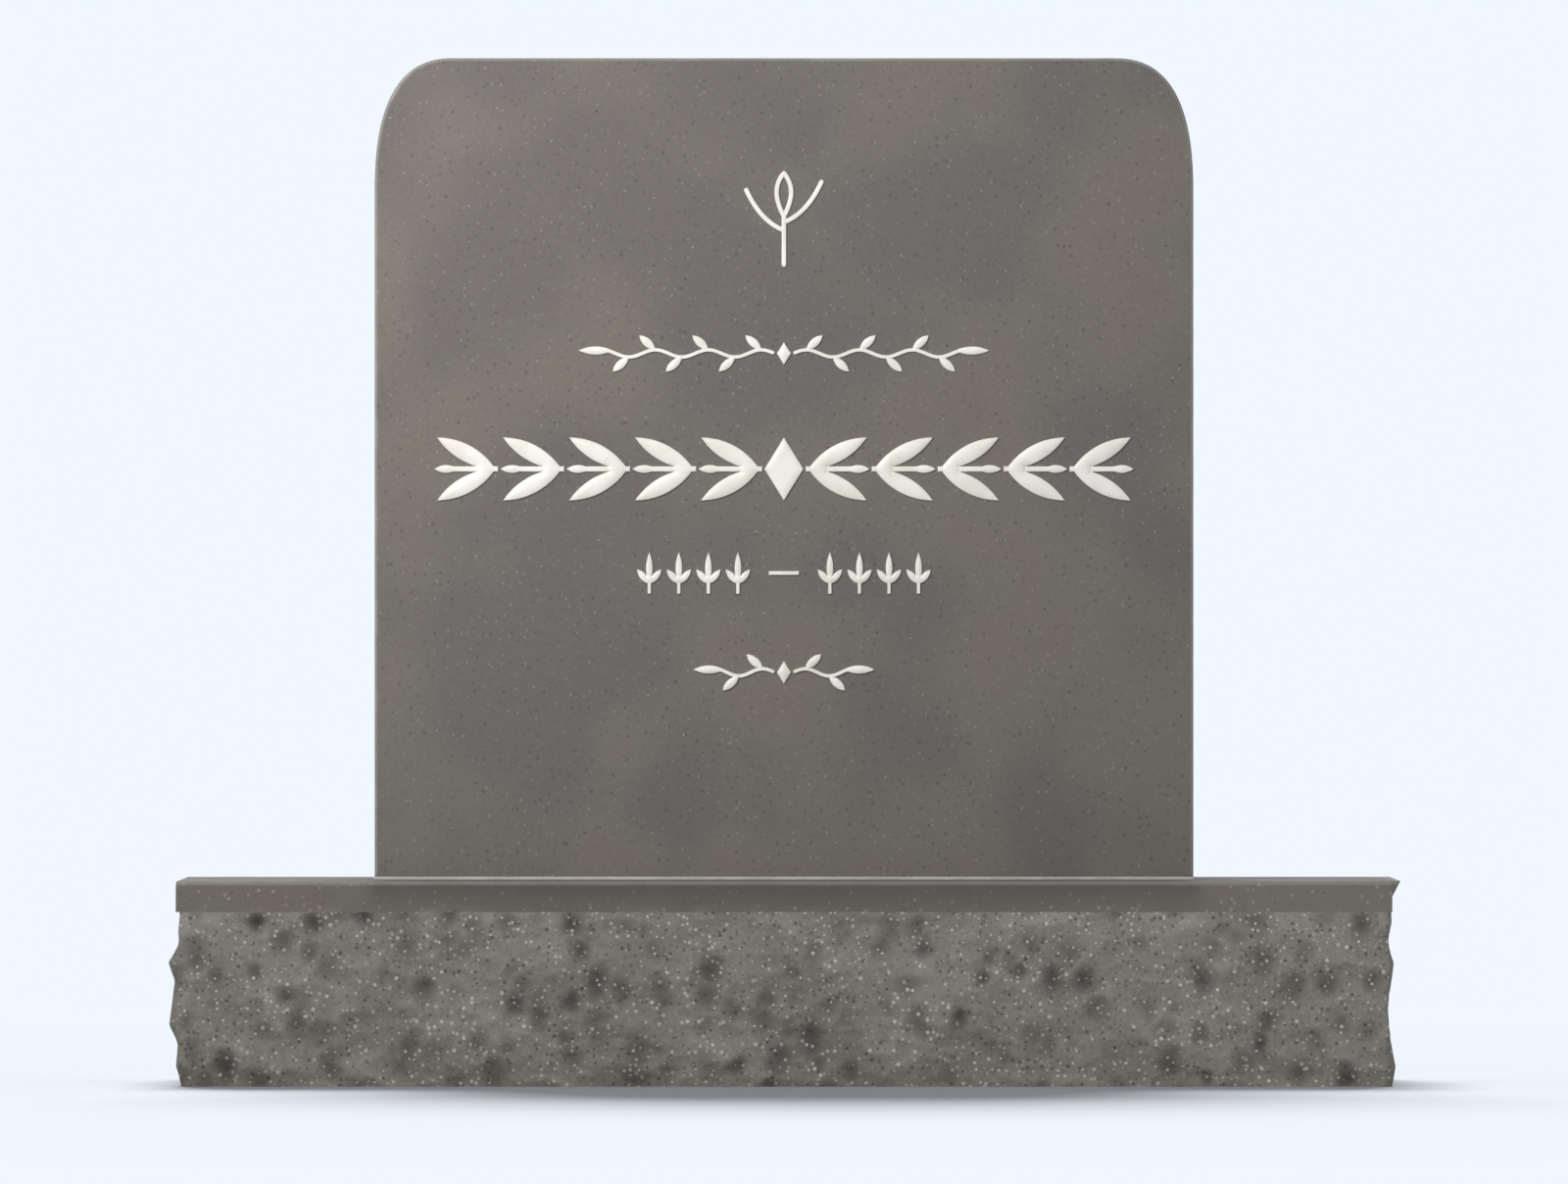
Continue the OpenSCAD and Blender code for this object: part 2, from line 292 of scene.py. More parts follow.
class SharedEffects:
    """Node groups that more than one finish uses, each built once."""

    fleck_size = (0.5, 0.7)  # least share of the radius, and what chance adds
    fleck_edge = (0.55, 1.1)  # shares of the radius between which a fleck fades out
    fleck_strength = (0.25, 0.75)  # least strength, and what chance adds
    cloud_edge = (0.36, 0.64)  # noise values between which the tones cross over
    grain_gain = 4.0

    def __init__(self) -> None:
        """Builds the groups."""
        self.flecks = self._build_flecks()
        self.clouds = self._build_clouds()
        self.grain = self._build_grain()

    @staticmethod
    def _open(
        name: str, inputs: dict[str, tuple[SocketKind, object]], outputs: dict[str, SocketKind]
    ) -> tuple[NodeBench, bpy.types.Node, bpy.types.Node]:
        """Starts a group with its sockets.

        Args:
            name: The group's name.
            inputs: Kind and default value of each input, by name.
            outputs: Kind of each output, by name.

        Returns:
            A bench on the group, its input node and its output node.
        """
        group = bpy.data.node_groups.new(name, "ShaderNodeTree")
        for label, (kind, default) in inputs.items():
            socket = group.interface.new_socket(label, in_out="INPUT", socket_type=kind.value)
            if default is not None:
                socket.default_value = default
        for label, kind in outputs.items():
            group.interface.new_socket(label, in_out="OUTPUT", socket_type=kind.value)
        bench = NodeBench(group)
        return bench, bench.add("NodeGroupInput"), bench.add("NodeGroupOutput")

    def _build_flecks(self) -> bpy.types.NodeTree:
        """Builds scattered mineral flecks.

        Returns:
            A group that puts out a mask, 1 in the middle of a fleck.
        """
        bench, given, result = self._open(
            "mineral flecks",
            {
                "Place": (SocketKind.POSITION, None),
                "Scale": (SocketKind.NUMBER, 150.0),
                "Radius": (SocketKind.NUMBER, 0.2),
                "Share": (SocketKind.NUMBER, 0.6),
                "Shift": (SocketKind.NUMBER, 0.0),
            },
            {"Mask": SocketKind.NUMBER},
        )
        moved = bench.add("ShaderNodeVectorMath", operation="ADD")
        bench.feed(moved.inputs[0], given.outputs["Place"])
        bench.feed(moved.inputs[1], given.outputs["Shift"])
        cells = bench.add("ShaderNodeTexVoronoi", feature="F1")
        bench.feed(cells.inputs["Vector"], moved.outputs[0])
        bench.feed(cells.inputs["Scale"], given.outputs["Scale"])
        split = bench.add("ShaderNodeSeparateColor")
        bench.feed(split.inputs[0], cells.outputs["Color"])
        least, chance = self.fleck_size
        size = bench.math("MULTIPLY_ADD", split.outputs[1], chance, least)
        reach = bench.math("MULTIPLY", given.outputs["Radius"], size)
        core = bench.math("DIVIDE", cells.outputs["Distance"], reach)
        disc = bench.remap(core, *self.fleck_edge, 1.0, 0.0)
        chosen = bench.math("LESS_THAN", split.outputs[0], given.outputs["Share"])
        least, chance = self.fleck_strength
        strength = bench.math("MULTIPLY_ADD", split.outputs[2], chance, least)
        shown = bench.math("MULTIPLY", disc, chosen)
        bench.feed(result.inputs["Mask"], bench.math("MULTIPLY", shown, strength))
        return bench.tree

    def _build_clouds(self) -> bpy.types.NodeTree:
        """Builds the slow drift between two tones of one stone.

        Returns:
            A group that puts out a colour.
        """
        bench, given, result = self._open(
            "stone clouds",
            {
                "Place": (SocketKind.POSITION, None),
                "Scale": (SocketKind.NUMBER, 9.0),
                "First tone": (SocketKind.COLOUR, srgb(117, 112, 104)),
                "Second tone": (SocketKind.COLOUR, srgb(107, 102, 99)),
            },
            {"Colour": SocketKind.COLOUR},
        )
        drift = bench.noise(given.outputs["Place"], given.outputs["Scale"], 1.5)
        share = bench.remap(drift, *self.cloud_edge, 0.0, 1.0)
        colour = bench.mix(share, given.outputs["First tone"], given.outputs["Second tone"])
        bench.feed(result.inputs["Colour"], colour)
        return bench.tree

    def _build_grain(self) -> bpy.types.NodeTree:
        """Builds the fine grain that shades a surface and roughens it.

        Returns:
            A group that puts out the shaded colour and a height.
        """
        bench, given, result = self._open(
            "fine grain",
            {
                "Place": (SocketKind.POSITION, None),
                "Scale": (SocketKind.NUMBER, 420.0),
                "Contrast": (SocketKind.NUMBER, 0.08),
                "Colour": (SocketKind.COLOUR, srgb(112, 107, 101)),
            },
            {"Colour": SocketKind.COLOUR, "Height": SocketKind.NUMBER},
        )
        fine = bench.noise(given.outputs["Place"], given.outputs["Scale"], 3.0)
        centred = bench.math("SUBTRACT", fine, 0.5)
        swing = bench.math("MULTIPLY", centred, given.outputs["Contrast"])
        gain = bench.math("MULTIPLY_ADD", swing, self.grain_gain, 1.0)
        shaded = bench.add("ShaderNodeVectorMath", operation="SCALE")
        bench.feed(shaded.inputs[0], given.outputs["Colour"])
        bench.feed(shaded.inputs["Scale"], gain)
        bench.feed(result.inputs["Colour"], shaded.outputs[0])
        bench.feed(result.inputs["Height"], fine)
        return bench.tree


@dataclass(frozen=True)
class Fleck:
    """One mineral that shows as small flecks in a stone."""

    tone: Rgb
    strength: float
    scale: float
    radius: float
    share: float
    shift: float


class Dressing:
    """A new material with its Principled shader ready to be fed."""

    def __init__(self, name: str) -> None:
        """Makes the material.

        Args:
            name: The material's name.
        """
        self.material = bpy.data.materials.new(name)
        self.material.use_nodes = True
        self.bench = NodeBench(self.material.node_tree)
        self.shader = self.material.node_tree.nodes["Principled BSDF"]
        self.place = self.bench.place()

    def set(self, socket: str, value: object) -> None:
        """Feeds one input of the shader.

        Args:
            socket: The input's name.
            value: A value or an output socket.
        """
        self.bench.feed(self.shader.inputs[socket], value)

    def bump(self, height: object, depth: float, strength: float) -> None:
        """Roughens the surface.

        Args:
            height: Height, 0 to 1.
            depth: Depth in metres that a height of 1 stands for.
            strength: Share of the effect.
        """
        node = self.bench.add("ShaderNodeBump")
        self.bench.feed(node.inputs["Height"], height)
        node.inputs["Distance"].default_value = depth
        node.inputs["Strength"].default_value = strength
        self.set("Normal", node.outputs["Normal"])

    def tint(self, colour: Socket, attribute: str, tone: Rgb) -> Socket:
        """Mixes in a tone where the mesh carries a value."""
        return self.bench.mix(self.bench.attribute(attribute), colour, srgb(*tone))

    def waver(self, scale: float, low: float, high: float) -> Socket:
        """Drifts smoothly between two values.

        Args:
            scale: Waves to the metre.
            low: Least value.
            high: Greatest value.

        Returns:
            The value's socket.
        """
        return self.bench.remap(self.bench.noise(self.place, scale), 0.3, 0.7, low, high)

    def speckle(self, group: bpy.types.NodeTree, colour: Socket, fleck: Fleck) -> tuple[Socket, Socket]:
        """Scatters one mineral's flecks over a colour.

        Args:
            group: The shared group that makes flecks.
            colour: Colour of the stone.
            fleck: The mineral.

        Returns:
            The flecked colour, and the mask of the flecks.
        """
        mask = self.bench.use_group(
            group,
            place=self.place,
            scale=fleck.scale,
            radius=fleck.radius,
            share=fleck.share,
            shift=fleck.shift,
        ).outputs[0]
        shown = self.bench.math("MULTIPLY", mask, fleck.strength)
        return self.bench.mix(shown, colour, srgb(*fleck.tone)), mask


# --------------------------------------------------------------------------
# Finishes
# --------------------------------------------------------------------------


@dataclass(frozen=True)
class Finish:
    """What every finish has: two clouded tones under a fine grain."""

    name: str
    tones: tuple[Rgb, Rgb]
    cloud_scale: float
    grain_scale: float
    grain_contrast: float
    roughness: tuple[float, float]
    specular: float
    bump_depth: float
    bump_strength: float

    def make(self, effects: SharedEffects) -> bpy.types.Material:
        """Builds the material.

        Args:
            effects: The shared node groups.

        Returns:
            The material.
        """
        dress = Dressing(self.name)
        first, second = (srgb(*tone) for tone in self.tones)
        clouds = dress.bench.use_group(
            effects.clouds,
            place=dress.place,
            scale=self.cloud_scale,
            first_tone=first,
            second_tone=second,
        )
        grain = dress.bench.use_group(
            effects.grain,
            place=dress.place,
            scale=self.grain_scale,
            contrast=self.grain_contrast,
            colour=clouds.outputs[0],
        )
        colour, roughness, height = self._refine(
            dress, effects, grain.outputs["Colour"], grain.outputs["Height"]
        )
        dress.set("Base Color", colour)
        dress.set("Roughness", roughness)
        dress.set("Specular IOR Level", self.specular)
        dress.bump(height, self.bump_depth, self.bump_strength)
        return dress.material

    def _refine(
        self, dress: Dressing, effects: SharedEffects, colour: Socket, height: Socket
    ) -> tuple[Socket, Socket | float, Socket]:
        """Adds what only this finish has.

        Args:
            dress: The material under construction; not used here.
            effects: The shared node groups; not used here.
            colour: Colour so far.
            height: Height of the grain.

        Returns:
            The final colour, roughness and height.
        """
        return colour, self.roughness[0], height


@dataclass(frozen=True)
class HonedGranite(Finish):
    """Granite rubbed to a smooth, dull face: warm grey with small flecks."""

    name: str = "honed_granite"
    tones: tuple[Rgb, Rgb] = ((115, 110, 102), (105, 100, 97))
    cloud_scale: float = 9.0
    grain_scale: float = 520.0
    grain_contrast: float = 0.10
    roughness: tuple[float, float] = (0.41, 0.53)
    roughness_scale: float = 26.0
    specular: float = 0.38
    bump_depth: float = 0.12 * MM
    bump_strength: float = 0.35
    flecks: tuple[Fleck, ...] = (
        Fleck((64, 60, 56), strength=0.5, scale=160.0, radius=0.24, share=0.80, shift=3.7),
        Fleck((160, 155, 148), strength=0.5, scale=165.0, radius=0.23, share=0.78, shift=0.0),
        Fleck((128, 98, 74), strength=0.35, scale=75.0, radius=0.10, share=0.35, shift=9.1),
    )
    # pale tone on the arrises: bruising of the crystals and a painted highlight along the edges
    bruise: Rgb = (152, 150, 146)
    # dark tone of the tablet's painted shadow on the margin of the base
    tablet_shadow_tone: Rgb = (72, 69, 65)

    def _refine(
        self, dress: Dressing, effects: SharedEffects, colour: Socket, height: Socket
    ) -> tuple[Socket, Socket | float, Socket]:
        """Adds flecks, rain stain, bruised edges and uneven rubbing.

        Args:
            dress: The material under construction.
            effects: The shared node groups.
            colour: Colour so far.
            height: Height of the grain.

        Returns:
            The final colour, roughness and height.
        """
        for fleck in self.flecks:
            colour, _ = dress.speckle(effects.flecks, colour, fleck)
        # painted shadow: the margin darkens below the tablet
        colour = dress.tint(colour, "runoff", self.tablet_shadow_tone)
        # painted highlight and bruising lighten the arrises
        colour = dress.tint(colour, "bruised", self.bruise)
        return colour, dress.waver(self.roughness_scale, *self.roughness), height


@dataclass(frozen=True)
class RockFacedGranite(Finish):
    """Granite split with the pitching chisel: coarse, flecked and hollowed."""

    name: str = "rock_faced_granite"
    tones: tuple[Rgb, Rgb] = ((126, 123, 116), (119, 116, 111))
    cloud_scale: float = 22.0
    grain_scale: float = 340.0
    grain_contrast: float = 0.16
    roughness: tuple[float, float] = (0.78, 0.5)
    specular: float = 0.3
    bump_depth: float = 0.9 * MM
    bump_strength: float = 0.5
    dark_fleck: Fleck = Fleck(
        (56, 53, 49), strength=0.75, scale=228.0, radius=0.35, share=0.78, shift=2.3
    )
    pale_fleck: Fleck = Fleck(
        (206, 202, 194), strength=0.65, scale=222.0, radius=0.34, share=0.78, shift=0.0
    )
    # dark tone in hollows and pits: painted shade, with some dust
    hollow: Rgb = (72, 67, 64)
    crest: Rgb = (146, 143, 138)
    coarse_scale: float = 150.0
    coarse_share: float = 0.7

    def _refine(
        self, dress: Dressing, effects: SharedEffects, colour: Socket, height: Socket
    ) -> tuple[Socket, Socket | float, Socket]:
        """Adds crests, hollows darkened with painted shade and dust, and flecks; the pale flecks are
        smooth crystal.

        Args:
            dress: The material under construction.
            effects: The shared node groups.
            colour: Colour so far.
            height: Height of the grain.

        Returns:
            The final colour, roughness and height.
        """
        bench = dress.bench
        colour = dress.tint(colour, "crest", self.crest)
        # painted shade and dust darken the hollows and pits
        colour = dress.tint(colour, "hollow", self.hollow)
        colour, _ = dress.speckle(effects.flecks, colour, self.dark_fleck)
        colour, crystal = dress.speckle(effects.flecks, colour, self.pale_fleck)
        roughness = bench.remap(crystal, 0.0, 1.0, *self.roughness)
        coarse = bench.noise(dress.place, self.coarse_scale, 4.0)
        height = bench.math("ADD", bench.math("MULTIPLY", coarse, self.coarse_share), height)
        return colour, roughness, height


@dataclass(frozen=True)
class SettingCompound(Finish):
    """Pale sanded compound, squeezed out to a bead and left to cure."""

    name: str = "setting_compound"
    tones: tuple[Rgb, Rgb] = ((196, 193, 188), (182, 179, 174))
    cloud_scale: float = 60.0
    grain_scale: float = 1500.0
    grain_contrast: float = 0.2
    roughness: tuple[float, float] = (0.85, 0.85)
    specular: float = 0.5
    bump_depth: float = 0.3 * MM
    bump_strength: float = 0.6


@dataclass(frozen=True)
class WhiteEnamel(Finish):
    """Off-white satin coat on the raised ornament, a little weathered."""

    name: str = "white_ornament"
    tones: tuple[Rgb, Rgb] = ((250, 248, 243), (240, 237, 229))
    cloud_scale: float = 45.0
    grain_scale: float = 900.0
    grain_contrast: float = 0.02
    roughness: tuple[float, float] = (0.38, 0.53)
    roughness_scale: float = 120.0
    specular: float = 0.4
    bump_depth: float = 0.05 * MM
    bump_strength: float = 0.3

    def _refine(
        self, dress: Dressing, effects: SharedEffects, colour: Socket, height: Socket
    ) -> tuple[Socket, Socket | float, Socket]:
        """Adds smears, where the coat has dulled.

        Args:
            dress: The material under construction.
            effects: The shared node groups; not used here.
            colour: Colour so far.
            height: Height of the grain.

        Returns:
            The final colour, roughness and height.
        """
        return colour, dress.waver(self.roughness_scale, *self.roughness), height


class Finishes:
    """Every finish on the headstone, built once."""

    def __init__(self) -> None:
        """Builds the shared effects and the materials."""
        effects = SharedEffects()
        self.honed = HonedGranite().make(effects)
        self.sawn = HonedGranite(
            name="sawn_granite", tones=((100, 95, 88), (96, 91, 85)), roughness=(0.55, 0.67)
        ).make(effects)
        self.rock = RockFacedGranite().make(effects)
        self.compound = SettingCompound().make(effects)
        self.enamel = WhiteEnamel().make(effects)


# --------------------------------------------------------------------------
# Mesh building
# --------------------------------------------------------------------------


@dataclass
class Skin:
    """A mesh under construction, grown from closed rings of equal length."""

    points: list[np.ndarray] = field(default_factory=list)
    faces: list[tuple[int, ...]] = field(default_factory=list)
    slots: list[int] = field(default_factory=list)
    values: dict[str, list[np.ndarray]] = field(default_factory=dict)
    count: int = 0

    def add_points(self, points: np.ndarray, **values: np.ndarray) -> np.ndarray:
        """Adds points and the values that they carry.

        Args:
            points: Places, one row to a point.
            **values: One number to a point, by attribute name.

        Returns:
            The new points' numbers.
        """
        size = len(points)
        for name in dict.fromkeys([*self.values, *values]):
            kept = self.values.setdefault(name, [np.zeros(self.count)] if self.count else [])
            kept.append(np.asarray(values.get(name, np.zeros(size)), float))
        self.points.append(points)
        self.count += size
        return np.arange(self.count - size, self.count)

    def bridge(self, lower: np.ndarray, upper: np.ndarray, slot: int = 0) -> None:
        """Joins two rings with a band of faces.

        Args:
            lower: Point numbers of the first ring.
            upper: Point numbers of the second ring, to the left of the first
                as seen from outside when looking along it.
            slot: Material slot of the band.
        """
        for around in zip(lower, np.roll(lower, -1), np.roll(upper, -1), upper):
            distinct = tuple(dict.fromkeys(int(number) for number in around))
            if len(distinct) > 2:
                self.faces.append(distinct)
                self.slots.append(slot)

    def cap(self, ring: np.ndarray, flip: bool, slot: int = 0) -> None:
        """Closes a ring with one flat face.

        Args:
            ring: Point numbers of the ring.
            flip: Whether the face looks against the ring's own turn.
            slot: Material slot of the face.
        """
        order = ring[::-1] if flip else ring
        self.faces.append(tuple(int(i) for i in order))
        self.slots.append(slot)

    def build(self, name: str, materials: list[bpy.types.Material], crease: float) -> bpy.types.Object:
        """Makes the object.

        Args:
            name: The piece's name.
            materials: Materials in slot order.
            crease: Angle in degrees above which an edge stays sharp.

        Returns:
            The linked object.
        """
        mesh = bpy.data.meshes.new(name)
        mesh.from_pydata(np.concatenate(self.points).tolist(), [], self.faces)
        for material in materials:
            mesh.materials.append(material)
        mesh.polygons.foreach_set("material_index", self.slots)
        mesh.polygons.foreach_set("use_smooth", [True] * len(mesh.polygons))
        for label, parts in self.values.items():
            layer = mesh.attributes.new(label, "FLOAT", "POINT")
            layer.data.foreach_set("value", np.concatenate(parts).astype(np.float32))
        sheet = bmesh.new()
        sheet.from_mesh(mesh)
        bmesh.ops.remove_doubles(sheet, verts=sheet.verts, dist=WELD)
        sheet.to_mesh(mesh)
        sheet.free()
        mesh.set_sharp_from_angle(angle=math.radians(crease))
        mesh.update()
        piece = bpy.data.objects.new(name, mesh)
        show(piece)
        return piece


@dataclass(frozen=True)
class BlockPath:
    """The way round a block in plan, with its corners rounded."""

    half_width: float
    half_depth: float
    pitch: float
    corner_steps: int = 4

    def columns(self) -> tuple[np.ndarray, np.ndarray]:
        """Spaces columns evenly round the block, anticlockwise from above.

        Returns:
            Each column's share of the way from corner to corner, as a point of
            a square from -1 to 1, and its outward direction.
        """
        corners = np.array([(-1, -1), (1, -1), (1, 1), (-1, 1)], float)
        normals = np.array([(0, -1), (1, 0), (0, 1), (-1, 0)], float)
        lengths = (self.half_width, self.half_depth, self.half_width, self.half_depth)
        spots, outward = [], []
        for side in range(4):
            start, end = corners[side], corners[(side + 1) % 4]
            steps = max(2, round(2 * lengths[side] / self.pitch))
            for step in range(steps + 1):
                spots.append(start + (end - start) * step / steps)
                outward.append(normals[side])
            for step in range(1, self.corner_steps):
                turn = math.radians(90 * step / self.corner_steps)
                following = normals[(side + 1) % 4]
                spots.append(end)
                outward.append(normals[side] * math.cos(turn) + following * math.sin(turn))
        return np.array(spots), np.array(outward)


# --------------------------------------------------------------------------
# The base
# --------------------------------------------------------------------------


@dataclass
class RockFacedBase:
    """The base: sawn above and below, rock-pitched on its four sides."""

    # half width of the tablet's painted shadow on the margin
    tablet_shadow_half: float = 305 * MM
    margin_height: float = 23 * MM
    relief: float = 6.2 * MM
    deepest: float = -14 * MM
    arris: float = 1.3 * MM
    lip_height: float = 11.5 * MM
    pitch: float = 2.2 * MM
    rock_corner: float = 6 * MM
    sawn_corner: float = 0.8 * MM
    swell: float = 75 * MM
    swell_depth: float = 2.4 * MM
    scallop: float = 44 * MM
    scallop_depth: float = 1.8 * MM
    chip: float = 15 * MM
    chip_depth: float = 0.9 * MM
    grit: float = 6 * MM
    grit_depth: float = 0.4 * MM
    pit_spacing: float = 24 * MM
    pit_radius: float = 14.5 * MM
    pit_depth: float = 2.4 * MM
    pit_stretch: float = 0.8
    pit_wander: float = 0.14
    scoop_stretch: float = 1.35
    scoop_wander: float = 0.32
    scoop_slope: float = 2.4
    scoop_floor: float = 0.8
    # share of painted shade and dust that dips get from their depth
    hollow_tone: float = 0.25
    crest_tone: float = 0.35
    end_lead: float = 1.6 * MM
    end_front: float = 0.8
    end_run: float = 70 * MM
    end_setback: float = 0.5 * MM
    end_break: float = 1.5
    top_fade: float = 11 * MM
    wear_size: float = 18 * MM
    wear_depth: float = 0.5 * MM
    # share of the pale tone on the base's top edge: bruising and painted highlight
    edge_bruise_and_highlight: float = 0.35
    # edge and strength of the painted shadow, strongest at the top of the margin
    tablet_shadow_reach: tuple[float, float] = (6 * MM, 12 * MM)
    tablet_shadow_strength: tuple[float, float] = (0.12, 0.90)
    underside_inset: float = 16 * MM
    top_insets: tuple[float, float] = (2 * MM, 6 * MM)
    closing_steps: int = 60
    left_profile: Profile = (
        (0, -0.70), (0.12, 0), (0.24, -0.25), (0.35, 0.90), (0.60, 0.20),
        (0.71, 1), (0.83, -0.60), (0.94, -0.70), (1, -0.53),
    )
    right_profile: Profile = (
        (0, 0.05), (0.12, 0.47), (0.35, -0.50), (0.46, -0.72), (0.545, -0.25),
        (0.71, 0.26), (0.83, -0.65), (0.94, -0.05), (1, -0.11),
    )
    face_profile: Profile = (
        (0, -0.20), (0.12, 0.20), (0.35, 0.45), (0.60, 0.40), (0.83, 0.20), (1, 0.0),
    )

    def build(self, finishes: Finishes, low: Vector, high: Vector) -> bpy.types.Object:
        """Cuts the base.

        Args:
            finishes: The materials.
            low: Lowest corner of the block.
            high: Highest corner of the block.

        Returns:
            The finished piece.
        """
        self.height = high.z - low.z
        self.half_width = (high.x - low.x) / 2 - self.relief
        self.half_depth = (high.y - low.y) / 2 - self.relief
        path = BlockPath(self.half_width, self.half_depth, self.pitch)
        self.spots, self.outward = path.columns()
        skin = Skin()
        rock_top = self.height - self.margin_height
        rings = self._rock_rings(skin, rock_top)
        for lower, upper in zip(rings, rings[1:]):
            skin.bridge(lower, upper, slot=0)
        sawn = self._sawn_rings(skin, rock_top)
        skin.bridge(rings[-1], sawn[0], slot=0)
        for lower, upper in zip(sawn, sawn[1:]):
            skin.bridge(lower, upper, slot=1)
        self._close(skin, rings[0], 0.0, (self.underside_inset,), upward=False)
        self._close(skin, sawn[-1], self.height, self.top_insets, upward=True)
        piece = skin.build("rock_faced_base", [finishes.rock, finishes.sawn], crease=38)
        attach(piece, BODY)
        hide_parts("base")
        return piece

    def _plan(self, corner: float) -> np.ndarray:
        """Places the columns in plan.

        Args:
            corner: Radius of the rounded corners.

        Returns:
            X and Y of each column.
        """
        inner = np.array([self.half_width - corner, self.half_depth - corner])
        return self.spots * inner + self.outward * corner

    def _rock_rings(self, skin: Skin, top: float) -> list[np.ndarray]:
        """Adds the rows of the rock face, from the ground up.

        Args:
            skin: Mesh to add to.
            top: Height of the rock face.

        Returns:
            Point numbers of each row.
        """
        plan = self._plan(self.rock_corner)
        steps = round(top / self.pitch)
        rings = []
        for step in range(steps + 1):
            height = top * step / steps
            out, hollow, crest = self._relief_row(plan, height, top)
            row = at_level(plan + self.outward * out[:, None], height)
            rings.append(skin.add_points(row, hollow=hollow, crest=crest))
        return rings

    def _relief_row(
        self, plan: np.ndarray, height: float, top: float
    ) -> tuple[np.ndarray, np.ndarray, np.ndarray]:
        """Works out one row of the rock face.

        Args:
            plan: X and Y of each column.
            height: Height of the row.
            top: Height of the rock face.

        Returns:
            How far each point stands out, its painted shade and dust in
            hollows and pits, and how far it stands on a crest.
        """
        share = height / top
        left_out, right_out, face_out = (
            float(np.interp(share, *zip(*profile))) * self.relief
            for profile in (self.left_profile, self.right_profile, self.face_profile)
        )
        fade = float(smoothstep(0.0, self.top_fade, np.array(top - height)))
        out = np.empty(len(plan))
        hollow = np.empty(len(plan))
        crest = np.empty(len(plan))
        for index, ((x, y), (nx, _)) in enumerate(zip(plan, self.outward)):
            rough, pit = self._roughness(Vector((x, y, height)))
            facing_end = nx * nx
            end_out = left_out if x < 0 else right_out
            broken = min(end_out, rough * self.end_break - self.end_setback)
            away = abs(y + self.half_depth * self.end_front)
            behind = float(smoothstep(0.0, self.end_run, np.array(away)))
            end_out = middle(end_out + min(0.0, rough + self.end_lead), broken, behind)
            value = middle(face_out + rough * fade, end_out, facing_end)
            out[index] = max(self.deepest, min(self.relief, value))
            # painted shade and dust: the deeper a pit or dip, the darker
            hollow[index] = min(1.0, pit + max(0.0, -rough / self.relief) * self.hollow_tone)
            crest[index] = max(0.0, min(self.crest_tone, rough / self.relief))
        return out, hollow, crest

    def _roughness(self, spot: Vector) -> tuple[float, float]:
        """Works out how the chisel left one point of the rock face.

        Args:
            spot: Place on the block.

        Returns:
            How far the point stands out, and how deep it lies in a pit, 0 to 1.
        """
        pit = self._pit(spot)
        rough = noise.noise(spot / self.swell) * self.swell_depth
        rough += self._scoop(spot, self.scallop) * self.scallop_depth
        rough += self._scoop(spot, self.chip) * self.chip_depth
        rough += noise.noise(spot / self.grit) * self.grit_depth
        return rough - pit * self.pit_depth, pit

    def _scoop(self, spot: Vector, size: float) -> float:
        """Shells the surface into shallow scoops that meet in ridges.

        Args:
            spot: Place on the block.
            size: Size of one scoop.

        Returns:
            Least in the middle of a scoop, and as far above 0 on a ridge.
        """
        wander = noise.noise_vector(spot / (size * 0.9)) * self.scoop_wander
        stretched = Vector((spot.x, spot.y, spot.z * self.scoop_stretch)) / size + wander
        near = noise.voronoi(stretched)[0][0]
        return min(2 * self.scoop_floor, self.scoop_slope * near * near) - self.scoop_floor

    def _pit(self, spot: Vector) -> float:
        """Finds how deep a point lies in one of the scattered pits.

        Args:
            spot: Place on the block.

        Returns:
            0.5 to 1 in the middle of a pit, by chance, and 0 outside it.
        """
        tall = Vector((spot.x, spot.y, spot.z * self.pit_stretch)) / self.pit_spacing
        wander = noise.noise_vector(tall * 1.6 + Vector((7, 3, 5))) * self.pit_wander
        distances, seeds = noise.voronoi(tall + wander + Vector((4.3, 1.7, 8.2)))
        chance = abs(noise.cell(seeds[0] * 37.1))
        size = 0.65 + 0.5 * abs(noise.cell(seeds[0] * 91.7))
        radius = self.pit_radius / self.pit_spacing * size
        share = max(0.0, 1.0 - distances[0] / radius)
        return share * share * (3 - 2 * share) * (0.5 + 0.5 * chance)

    def _sawn_rings(self, skin: Skin, rock_top: float) -> list[np.ndarray]:
        """Adds the rings of the sawn margin and its bevelled top edge.

        Args:
            skin: Mesh to add to.
            rock_top: Height of the rock face.

        Returns:
            Point numbers of each ring.
        """
        plan = self._plan(self.sawn_corner)
        on_right = self.outward[:, 0] > 0.7
        lip_foot = self.height - self.lip_height
        edge_foot = self.height - self.arris
        upright = (
            rock_top, rock_top + 0.6 * MM, middle(rock_top, lip_foot, 0.5), lip_foot,
            middle(lip_foot, self.height, 0.33), middle(lip_foot, self.height, 0.66), edge_foot,
        )
        section = [(level, 0.0) for level in upright]
        section += [(self.height - self.arris * 0.45, self.arris * 0.3), (self.height, self.arris)]
        rings = []
        for level, inset in section:
            lip = max(0.0, level - lip_foot) / self.lip_height * self.relief
            out = np.where(on_right, lip, -inset)
            if rock_top < level < self.height:
                out += self._wear(plan, level)
            # the top edge is lightened: bruising and painted highlight
            bruised = np.full(len(plan), self.edge_bruise_and_highlight if level >= edge_foot else 0.0)
            row = at_level(plan + self.outward * out[:, None], level)
            # each ring carries the tablet's painted shadow
            rings.append(skin.add_points(row, runoff=self._runoff(plan, level), bruised=bruised))
        return rings

